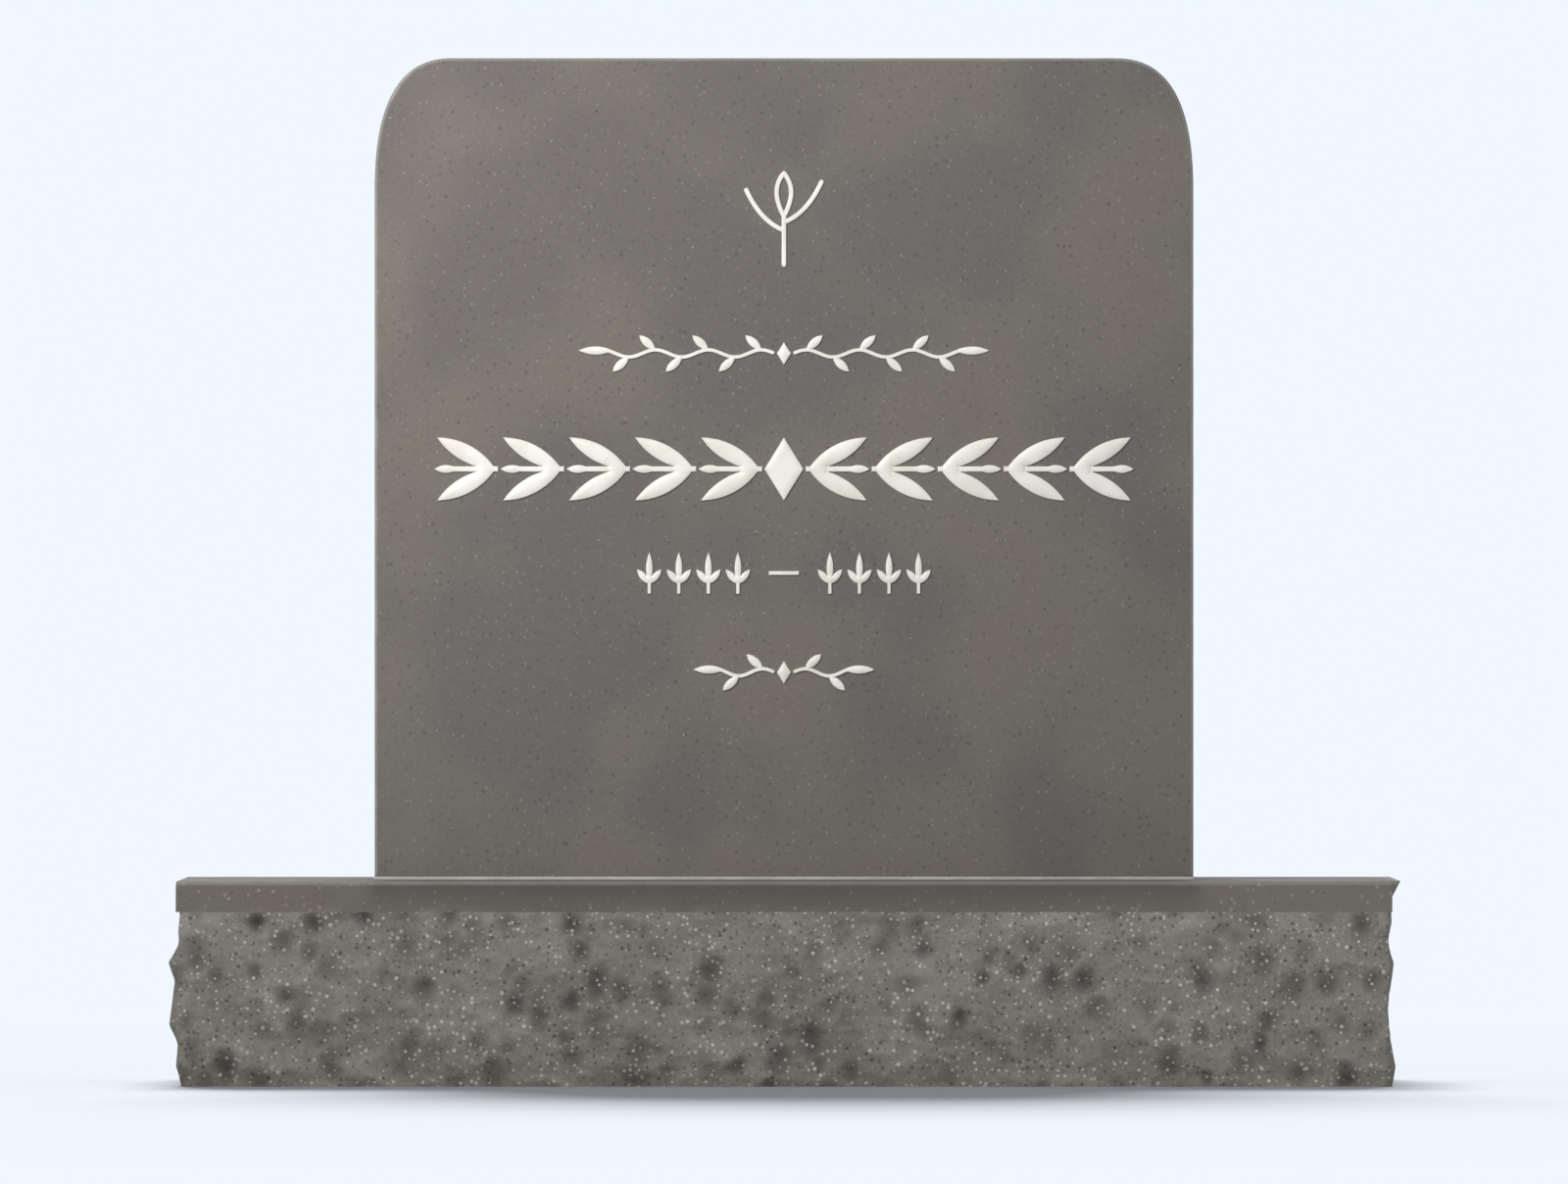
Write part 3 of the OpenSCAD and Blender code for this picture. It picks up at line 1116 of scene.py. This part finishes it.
    def _wear(self, plan: np.ndarray, level: float) -> np.ndarray:
        """Makes the sawn faces and edges a little uneven.

        Args:
            plan: X and Y of each column.
            level: Height of the ring.

        Returns:
            How far each point stands in, never out.
        """
        rough = [noise.noise(Vector((x, y, level)) / self.wear_size) for x, y in plan]
        return np.minimum(0.0, np.array(rough)) * self.wear_depth

    def _runoff(self, plan: np.ndarray, level: float) -> np.ndarray:
        """Paints the tablet's shadow onto the margin below it, darkest at the top.

        Args:
            plan: X and Y of each column.
            level: Height of the ring.

        Returns:
            Strength of the painted shadow at each column.
        """
        inner, outer = self.tablet_shadow_reach
        beyond = np.abs(plan[:, 0]) - self.tablet_shadow_half
        across = 1.0 - smoothstep(-inner, outer, beyond)
        up = max(0.0, (level - (self.height - self.margin_height)) / self.margin_height)
        return across * middle(*self.tablet_shadow_strength, up)

    def _close(
        self, skin: Skin, ring: np.ndarray, level: float, insets: tuple[float, ...], upward: bool
    ) -> None:
        """Closes the block above or below with strips to its middle line.

        Args:
            skin: Mesh to add to.
            ring: Point numbers of the edge.
            level: Height of the closing face.
            insets: How far in from the sawn faces each inner ring lies.
            upward: Whether the face looks up.
        """
        points = np.concatenate(skin.points)[ring]
        for inset in insets:
            reach_in = np.array([self.half_width - inset, self.half_depth - inset])
            plan, column = np.unique(self.spots * reach_in, axis=0, return_inverse=True)
            inner = skin.add_points(at_level(plan, level))[column.ravel()]
            skin.bridge(*((ring, inner) if upward else (inner, ring)), slot=1)
            ring = inner
        reach = self.half_width - self.half_depth
        line = np.linspace(-reach, reach, self.closing_steps + 1)
        numbers = skin.add_points(at_level(np.column_stack([line, np.zeros(len(line))]), level))
        along = (np.clip(points[:, 0], -reach, reach) + reach) / (2 * reach)
        nearest = np.rint(along * self.closing_steps)
        inner = numbers[nearest.astype(int)]
        skin.bridge(*((ring, inner) if upward else (inner, ring)), slot=1)


# --------------------------------------------------------------------------
# The tablet and its bed
# --------------------------------------------------------------------------


@dataclass
class HonedTablet:
    """The upright slab, with round shoulders and rounded arrises."""

    shoulder_width: float = 57 * MM
    shoulder_height: float = 97 * MM
    arris: float = 1.5 * MM
    shoulder_steps: int = 48
    pitch: float = 4 * MM
    nick_depth: float = 0.35 * MM
    nick_sizes: tuple[float, float] = (7 * MM, 23 * MM)
    nick_shares: tuple[float, float] = (0.6, 1.0)
    nick_start: float = 0.1
    # range of the pale arris tone: bruising and painted highlight
    bruise_and_highlight_range: tuple[float, float] = (0.55, 1.0)
    face_insets: tuple[float, float] = (3.0, 1.5)  # flat rings, in widths of the arris
    side_start: float = 1.6  # first ring of the side, in widths of the arris
    side_steps: int = 8

    def build(self, finishes: Finishes, low: Vector, high: Vector) -> bpy.types.Object:
        """Cuts the tablet.

        Args:
            finishes: The materials.
            low: Lowest corner of the slab.
            high: Highest corner of the slab.

        Returns:
            The finished piece.
        """
        outline, outward = self._outline(low, high)
        skin = Skin()
        half = (high.y - low.y) / 2
        rings = [
            self._ring(skin, outline, outward, depth, inset, half)
            for depth, inset in self._section(half)
        ]
        for front, back in zip(rings, rings[1:]):
            skin.bridge(back, front)
        skin.cap(rings[0], flip=False)
        skin.cap(rings[-1], flip=True)
        piece = skin.build("honed_tablet", [finishes.honed], crease=40)
        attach(piece, BODY)
        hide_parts("tablet")
        return piece

    def _outline(self, low: Vector, high: Vector) -> tuple[np.ndarray, np.ndarray]:
        """Draws the front outline, anticlockwise from the lower left.

        Args:
            low: Lowest corner of the slab.
            high: Highest corner of the slab.

        Returns:
            X and Z of each point, and the outward direction there.
        """
        half, top, foot = high.x, high.z, low.z
        spring = top - self.shoulder_height
        flat = half - self.shoulder_width
        share = np.linspace(0, 1, self.shoulder_steps + 1)[:, None]
        start, corner, end = np.array([half, spring]), np.array([half, top]), np.array([flat, top])
        curve = (1 - share) ** 2 * start + 2 * share * (1 - share) * corner + share**2 * end
        mirrored = curve[::-1] * (-1, 1)
        legs = [
            self._spaced((-half, foot), (half, foot)),
            self._spaced((half, foot), (half, spring)),
            curve[:-1],
            self._spaced((flat, top), (-flat, top)),
            mirrored[:-1],
            self._spaced((-half, spring), (-half, foot)),
        ]
        outline = np.concatenate(legs)
        along = np.roll(outline, -1, axis=0) - np.roll(outline, 1, axis=0)
        along /= np.linalg.norm(along, axis=1)[:, None]
        outward = np.column_stack([along[:, 1], -along[:, 0]])
        return outline, outward

    def _spaced(self, start: tuple[float, float], end: tuple[float, float]) -> np.ndarray:
        """Spaces points along a straight edge, leaving out its end.

        Args:
            start: First point.
            end: Point that the next edge begins with.

        Returns:
            The points.
        """
        a, b = np.array(start), np.array(end)
        steps = max(1, round(float(np.linalg.norm(b - a)) / self.pitch))
        return a + (b - a) * np.arange(steps)[:, None] / steps

    def _section(self, half: float) -> list[tuple[float, float]]:
        """Lists the rings from the front face to the back face.

        Args:
            half: Half of the slab's thickness.

        Returns:
            Place through the thickness and inset of each ring.
        """
        turns = [math.radians(angle) for angle in (0, 22.5, 45, 67.5, 90)]
        front = [(0.0, widths * self.arris) for widths in self.face_insets]
        front += [
            (self.arris * (1 - math.cos(turn)), self.arris * (1 - math.sin(turn))) for turn in turns
        ]
        front.append((self.arris * self.side_start, 0.0))
        sides = [(2 * half * step / self.side_steps, 0.0) for step in range(1, self.side_steps)]
        back = [(2 * half - depth, inset) for depth, inset in reversed(front)]
        return front + sides + back

    def _ring(
        self, skin: Skin, outline: np.ndarray, outward: np.ndarray, depth: float, inset: float, half: float
    ) -> np.ndarray:
        """Adds one ring, with the small losses that arrises pick up and their pale tone, part bruising and
        part painted highlight.

        Args:
            skin: Mesh to add to.
            outline: X and Z of the outline.
            outward: Outward direction at each point.
            depth: Distance behind the front face.
            inset: Distance inside the outline.
            half: Half of the slab's thickness.

        Returns:
            Point numbers of the ring.
        """
        y = depth - half
        nearest_face = min(depth, 2 * half - depth)
        on_arris = nearest_face < self.arris * 1.05 and inset < self.arris * 1.05
        loss = np.zeros(len(outline))
        bruised = np.zeros(len(outline))
        if on_arris:
            side = -1.0 if y < 0 else 1.0
            for index, (x, z) in enumerate(outline):
                spot = Vector((x, side, z))
                rough = sum(
                    noise.noise(spot / size) * share
                    for size, share in zip(self.nick_sizes, self.nick_shares)
                )
                loss[index] = max(0.0, rough - self.nick_start) * self.nick_depth
                # the arris is lightened: bruising and painted highlight
                bruised[index] = middle(*self.bruise_and_highlight_range, min(1.0, max(0.0, rough)))
        foot = outline[:, 1] == outline[0, 1]
        loss[foot] = 0.0
        bruised[foot] = 0.0
        spots = outline - outward * (inset + loss)[:, None]
        spots[foot, 1] = outline[0, 1]
        shifted = y + math.copysign(1.0, -y) * loss
        row = np.column_stack([spots[:, 0], shifted, spots[:, 1]])
        return skin.add_points(row, bruised=bruised)


@dataclass
class SettingBead:
    """The thin bed of compound, squeezed out to a bead all round."""

    pitch: float = 3 * MM
    bulge: float = 0.5 * MM
    waver: float = 0.3 * MM
    waver_size: float = 12 * MM
    corner: float = 1 * MM
    levels: tuple[float, ...] = (0.0, 0.2, 0.5, 0.8, 1.0)

    def build(self, finishes: Finishes, low: Vector, high: Vector) -> bpy.types.Object:
        """Lays the bed.

        Args:
            finishes: The materials.
            low: Lowest corner of the bed.
            high: Highest corner of the bed.

        Returns:
            The finished piece.
        """
        spots, outward = BlockPath(high.x, high.y, self.pitch, 3).columns()
        plan = spots * (high.x - self.corner, high.y - self.corner) + outward * self.corner
        skin = Skin()
        rings = []
        for share in self.levels:
            level = middle(low.z, high.z, share)
            back = self.bulge * (1 - math.sin(math.pi * share))
            rough = [noise.noise(Vector((x, y, level)) / self.waver_size) for x, y in plan]
            out = -back - np.maximum(0.0, np.array(rough)) * self.waver
            rings.append(skin.add_points(at_level(plan + outward * out[:, None], level)))
        for lower, upper in zip(rings, rings[1:]):
            skin.bridge(lower, upper)
        skin.cap(rings[0], flip=True)
        skin.cap(rings[-1], flip=False)
        piece = skin.build("setting_bead", [finishes.compound], crease=50)
        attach(piece, BODY)
        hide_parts("setting_joint")
        return piece


# --------------------------------------------------------------------------
# The ornament
# --------------------------------------------------------------------------


class Outline:
    """The closed outlines of one flat piece, as short straight edges."""

    def __init__(self, mesh: bpy.types.Mesh, spacing: float) -> None:
        """Reads the outlines off the piece's front.

        Args:
            mesh: Mesh of a plate that stands upright and faces -Y.
            spacing: Longest edge to leave.
        """
        front = min(vertex.co.y for vertex in mesh.vertices)
        places = {v.index: (round(v.co.x, 7), round(v.co.z, 7)) for v in mesh.vertices}
        faces = [
            [places[i] for i in face.vertices]
            for face in mesh.polygons
            if all(abs(mesh.vertices[i].co.y - front) < 0.01 * MM for i in face.vertices)
        ]
        halves = {(a, b) for face in faces for a, b in zip(face, face[1:] + face[:1]) if a != b}
        starts, ends = [], []
        for a, b in sorted(halves):
            if (b, a) in halves:
                continue
            steps = max(1, math.ceil(math.dist(a, b) / spacing))
            knots = [middle(np.array(a), np.array(b), step / steps) for step in range(steps + 1)]
            starts += knots[:-1]
            ends += knots[1:]
        self.starts = np.array(starts)
        self.ends = np.array(ends)
        number = {tuple(np.round(spot, 7)): i for i, spot in enumerate(starts)}
        self.edges = [(i, number[tuple(np.round(spot, 7))]) for i, spot in enumerate(ends)]

    def distance(self, spots: np.ndarray) -> np.ndarray:
        """Measures how far each spot lies from the nearest edge.

        Args:
            spots: X and Z of each spot.

        Returns:
            The distances.
        """
        along = self.ends - self.starts
        offset = spots[:, None, :] - self.starts[None]
        share = np.clip((offset * along).sum(2) / (along * along).sum(1), 0.0, 1.0)
        return np.linalg.norm(offset - share[..., None] * along, axis=2).min(1)

    def holds(self, spots: np.ndarray) -> np.ndarray:
        """Tells which spots lie on the piece, by counting crossings to the right.

        Args:
            spots: X and Z of each spot.

        Returns:
            One truth value to a spot.
        """
        x, z = spots[:, :1], spots[:, 1:]
        (x1, z1), (x2, z2) = self.starts.T, self.ends.T
        spans = (z1 > z) != (z2 > z)
        rise = np.where(z2 == z1, 1.0, z2 - z1)
        crossing = x1 + (z - z1) * (x2 - x1) / rise
        return (spans & (x < crossing)).sum(1) % 2 == 1

    def inner_spots(self, spacing: float, rim: float) -> np.ndarray:
        """Spreads spots over the piece, with a row that follows the rim.

        Args:
            spacing: Distance between neighbours.
            rim: Distance of that row from the outline.

        Returns:
            X and Z of each spot.
        """
        along = self.ends - self.starts
        along /= np.linalg.norm(along, axis=1)[:, None]
        inward = np.column_stack([-along[:, 1], along[:, 0]])
        centres = (self.starts + self.ends) / 2
        rows = np.concatenate([centres + inward * rim, centres - inward * rim])
        rows = rows[self.holds(rows) & (self.distance(rows) > 0.97 * rim)]
        low, high = self.starts.min(0), self.starts.max(0)
        x = np.arange(low[0], high[0], spacing)
        z = np.arange(low[1], high[1], spacing * math.sqrt(0.75))
        grid = np.array([(a + spacing / 2 * (row % 2), b) for row, b in enumerate(z) for a in x])
        grid = grid[self.holds(grid)]
        grid = grid[self.distance(grid) > rim + spacing / 2]
        return np.concatenate([rows, grid])


@dataclass
class RaisedOrnament:
    """The white plant work on the face: each piece swells from its rim."""

    spacing: float = 0.8 * MM
    rim_share: float = 0.55
    rim_round: float = 0.35 * MM
    swell_reach: float = 5.5 * MM
    easing_passes: int = 4

    def build(self, finishes: Finishes, name: str, node: bpy.types.Object) -> bpy.types.Object:
        """Carves one piece to the outline of its node.

        Args:
            finishes: The materials.
            name: The node's name.
            node: The node's object.

        Returns:
            The finished piece.
        """
        low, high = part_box(name)
        outline = Outline(node.data, self.spacing)
        inner = outline.inner_spots(self.spacing, self.rim_round)
        spots, faces, top = self._triangles(outline, np.concatenate([outline.starts, inner]))
        depth = self._heights(outline, spots, faces, high.y - low.y)
        skin = Skin()
        front = skin.add_points(np.column_stack([spots[:, 0], high.y - depth, spots[:, 1]]))
        skin.faces += [tuple(front[i] for i in face) for face in faces]
        spots, faces, foot = self._triangles(outline, outline.starts)
        level = np.full(len(spots), high.y)
        back = skin.add_points(np.column_stack([spots[:, 0], level, spots[:, 1]]))
        skin.faces += [tuple(back[i] for i in reversed(face)) for face in faces]
        skin.faces += [
            (front[top[a]], back[foot[a]], back[foot[b]], front[top[b]]) for a, b in outline.edges
        ]
        skin.faces = [tuple(int(i) for i in face) for face in skin.faces]
        skin.slots = [0] * len(skin.faces)
        piece = skin.build(f"carved_{name}", [finishes.enamel], crease=45)
        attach(piece, BODY)
        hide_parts(name)
        return piece

    @staticmethod
    def _triangles(
        outline: Outline, spots: np.ndarray
    ) -> tuple[np.ndarray, list[tuple[int, ...]], np.ndarray]:
        """Spans spots with triangles that stay on the piece.

        Args:
            outline: The piece's outline.
            spots: X and Z of each spot, the outline's first.

        Returns:
            The spots in their new order, triangles that face -Y, and the new
            number of each spot.
        """
        placed, _, faces, sources, _, _ = delaunay_2d_cdt(
            [Vector(spot) for spot in spots], outline.edges, [], 0, 1e-8
        )
        moved = np.zeros(len(spots), int)
        for new, olds in enumerate(sources):
            moved[list(olds)] = new
        placed = np.array([tuple(spot) for spot in placed])
        a, b, c = placed[np.array(faces)].transpose(1, 0, 2)
        area = ((b - a)[:, 0] * (c - a)[:, 1] - (b - a)[:, 1] * (c - a)[:, 0]) / 2
        kept = outline.holds((a + b + c) / 3) & (area > SLIVER)
        return placed, [tuple(face) for face, keep in zip(faces, kept) if keep], moved

    def _heights(
        self, outline: Outline, spots: np.ndarray, faces: list[tuple[int, ...]], full: float
    ) -> np.ndarray:
        """Works out how far each spot stands out from the stone.

        Args:
            outline: The piece's outline.
            spots: X and Z of each spot.
            faces: Triangles between the spots.
            full: Greatest height.

        Returns:
            The heights.
        """
        away = outline.distance(spots)
        share = np.clip(away / self.swell_reach, 0.0, 1.0)
        rim = full * self.rim_share
        height = rim + (full - rim) * (1 - (1 - share) ** 2)
        height -= self.rim_round * np.clip(1 - away / self.rim_round, 0.0, 1.0)
        links = np.array([pair for a, b, c in faces for pair in ((a, b), (b, c), (c, a))])
        free = away > self.rim_round * 1.5
        for _ in range(self.easing_passes):
            total = np.zeros(len(spots))
            count = np.zeros(len(spots))
            for near, far in (links.T, links.T[::-1]):
                np.add.at(total, near, height[far])
                np.add.at(count, near, 1.0)
            height = np.where(free & (count > 0), total / np.maximum(count, 1.0), height)
        return height


# --------------------------------------------------------------------------
# Studio
# --------------------------------------------------------------------------


@dataclass(frozen=True)
class Studio:
    """Pale floor, soft lamps and a long lens square to the front."""

    backdrop: Rgb = (240, 247, 255)
    camera_distance: float = 16.0
    camera_height: float = 0.33
    aim_height: float = 0.3667
    view_width: float = 1.1620
    sensor: float = 36.0
    sky_strength: float = 0.26
    overhead_strength: float = 3.22
    overhead_angle: float = 32.0
    overhead_travel: Spot = (0.04, -0.70, -0.71)
    lamp_size: float = 0.45
    lamp_colour: Spot = (1.0, 0.985, 0.965)
    key_power: float = 25.6
    key_place: Spot = (-0.85, -1.50, 1.25)
    key_aim: Spot = (-0.05, 0.0, 0.42)
    fill_power: float = 3.0
    fill_place: Spot = (0.75, -1.05, 0.22)
    fill_aim: Spot = (0.30, -0.15, 0.07)
    floor_reach: float = 40.0
    floor_fade: tuple[float, float] = (1.2, 2.8)
    floor_bounce: float = 0.45

    def build(self, stone_front: float, upper_pieces: list[bpy.types.Object]) -> None:
        """Sets the camera, the lamps, the world and the floor.

        Args:
            stone_front: Y of the front of the base.
            upper_pieces: Pieces above the base, which the fill lamp leaves alone.
        """
        self._camera(stone_front)
        self._world()
        key = self._lamp("key", self.key_power, self.key_place, self.key_aim)
        fill = self._lamp("fill", self.fill_power, self.fill_place, self.fill_aim)
        self._overhead()
        floor = self._floor()
        self._keep_off(key, [floor])
        self._keep_off(fill, [floor, *upper_pieces])
        bpy.context.scene.view_settings.view_transform = "Standard"

    def _camera(self, stone_front: float) -> None:
        """Places the camera.

        Args:
            stone_front: Y of the front of the base.
        """
        data = bpy.data.cameras.new("camera")
        data.sensor_width = self.sensor
        reach = self.camera_distance + stone_front
        data.lens = self.sensor * reach / self.view_width
        data.clip_end = 200.0
        camera = bpy.data.objects.new("camera", data)
        camera.location = (0.0, -self.camera_distance, self.camera_height)
        face_along(camera, Vector((0.0, stone_front, self.aim_height)) - camera.location)
        show(camera)
        bpy.context.scene.camera = camera

    def _world(self) -> None:
        """Lights the scene evenly and shows the backdrop colour."""
        world = bpy.data.worlds.new("studio")
        world.use_nodes = True
        bench = NodeBench(world.node_tree)
        sky = world.node_tree.nodes["Background"]
        sky.inputs["Color"].default_value = (1.0, 1.0, 1.0, 1.0)
        sky.inputs["Strength"].default_value = self.sky_strength
        shown = bench.add("ShaderNodeBackground")
        shown.inputs["Color"].default_value = srgb(*self.backdrop)
        mixer = bench.blend(self._seen(bench), sky, shown)
        bench.feed(world.node_tree.nodes["World Output"].inputs["Surface"], mixer.outputs[0])
        bpy.context.scene.world = world

    @staticmethod
    def _seen(bench: NodeBench) -> Socket:
        """Tells rays that show the backdrop from rays that gather light.

        Args:
            bench: Bench on the tree.

        Returns:
            1 for camera, glossy and transmission rays.
        """
        path = bench.add("ShaderNodeLightPath")
        glossy = bench.math("MAXIMUM", path.outputs["Is Camera Ray"], path.outputs["Is Glossy Ray"])
        return bench.math("MAXIMUM", glossy, path.outputs["Is Transmission Ray"])

    def _lamp(self, name: str, power: float, place: Spot, aim: Spot) -> bpy.types.Object:
        """Hangs one soft round lamp, near enough for its light to fall off.

        Args:
            name: The lamp's name.
            power: Power in watts.
            place: Where it hangs.
            aim: The point that it faces.

        Returns:
            The lamp.
        """
        data = bpy.data.lights.new(name, "AREA")
        data.shape = "DISK"
        data.size = self.lamp_size
        data.energy = power
        data.color = self.lamp_colour
        lamp = bpy.data.objects.new(name, data)
        lamp.location = place
        face_along(lamp, Vector(aim) - lamp.location)
        show(lamp)
        return lamp

    def _overhead(self) -> None:
        """Adds the broad overhead light, which lays the shadow on the floor."""
        data = bpy.data.lights.new("overhead", "SUN")
        data.energy = self.overhead_strength
        data.angle = math.radians(self.overhead_angle)
        lamp = bpy.data.objects.new("overhead", data)
        lamp.visible_glossy = False
        face_along(lamp, Vector(self.overhead_travel))
        show(lamp)

    def _floor(self) -> bpy.types.Object:
        """Lays the floor.

        Returns:
            The floor.
        """
        reach = self.floor_reach
        mesh = bpy.data.meshes.new("floor")
        edge = [(-reach, -reach, 0), (reach, -reach, 0), (reach, reach, 0), (-reach, reach, 0)]
        mesh.from_pydata(edge, [], [(0, 1, 2, 3)])
        floor = bpy.data.objects.new("floor", mesh)
        show(floor)
        mesh.materials.append(self._floor_finish())
        return floor

    def _floor_finish(self) -> bpy.types.Material:
        """Builds the floor's finish, which fades to the backdrop colour.

        Returns:
            The material.
        """
        material = bpy.data.materials.new("floor")
        material.use_nodes = True
        tree = material.node_tree
        tree.nodes.clear()
        bench = NodeBench(tree)
        seen_colour = srgb(*self.backdrop)
        lit = bench.add("ShaderNodeBsdfDiffuse")
        lit.inputs["Color"].default_value = seen_colour
        far = bench.add("ShaderNodeEmission")
        far.inputs["Color"].default_value = seen_colour
        bounce = bench.add("ShaderNodeBsdfDiffuse")
        bounce.inputs["Color"].default_value = (*[self.floor_bounce] * 3, 1.0)
        span = bench.add("ShaderNodeVectorMath", operation="LENGTH")
        bench.feed(span.inputs[0], bench.place())
        fade = bench.remap(span.outputs["Value"], *self.floor_fade, 0.0, 1.0)
        near = bench.blend(fade, lit, far)
        shown = bench.blend(self._seen(bench), bounce, near)
        output = bench.add("ShaderNodeOutputMaterial")
        bench.feed(output.inputs["Surface"], shown.outputs[0])
        return material

    @staticmethod
    def _keep_off(lamp: bpy.types.Object, others: list[bpy.types.Object]) -> None:
        """Keeps one lamp's light off some objects.

        Args:
            lamp: The lamp.
            others: The objects that it doesn't light.
        """
        group = bpy.data.collections.new(f"{lamp.name}_receivers")
        lamp.light_linking.receiver_collection = group
        for piece in others:
            group.objects.link(piece)
        for child in group.collection_objects:
            child.light_linking.link_state = "EXCLUDE"


# --------------------------------------------------------------------------
# The whole stone
# --------------------------------------------------------------------------


def corners(box: tuple[Vector, Vector]) -> list[list[float]]:
    """Turns a box into plain lists of numbers."""
    return [[float(value) for value in corner] for corner in box]


def log_piece(piece: bpy.types.Object) -> None:
    """Logs a finished piece."""
    LOG.info("%s: %d faces", piece.name, len(piece.data.polygons))


def main() -> None:
    """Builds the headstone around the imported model."""
    logging.basicConfig(level=logging.INFO, format="%(name)s: %(message)s")
    noise.seed_set(SEED)
    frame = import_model()
    nodes = frame["nodes"]

    finishes = Finishes()
    base_low, base_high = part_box("base")
    tablet_low, tablet_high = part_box("tablet")
    stone = RockFacedBase(tablet_shadow_half=tablet_high.x).build(finishes, base_low, base_high)
    log_piece(stone)
    tablet = HonedTablet().build(finishes, tablet_low, tablet_high)
    log_piece(tablet)
    bead = SettingBead().build(finishes, *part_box("setting_joint"))
    log_piece(bead)
    stonework = {"base", "tablet", "setting_joint"}
    trim = {name: node for name, node in nodes.items() if name not in stonework}
    carver = RaisedOrnament()
    carved = [carver.build(finishes, name, node) for name, node in trim.items()]
    for piece in carved:
        log_piece(piece)
    Studio().build(base_low.y, [tablet, bead, *carved])


if __name__ == "__main__":
    main()
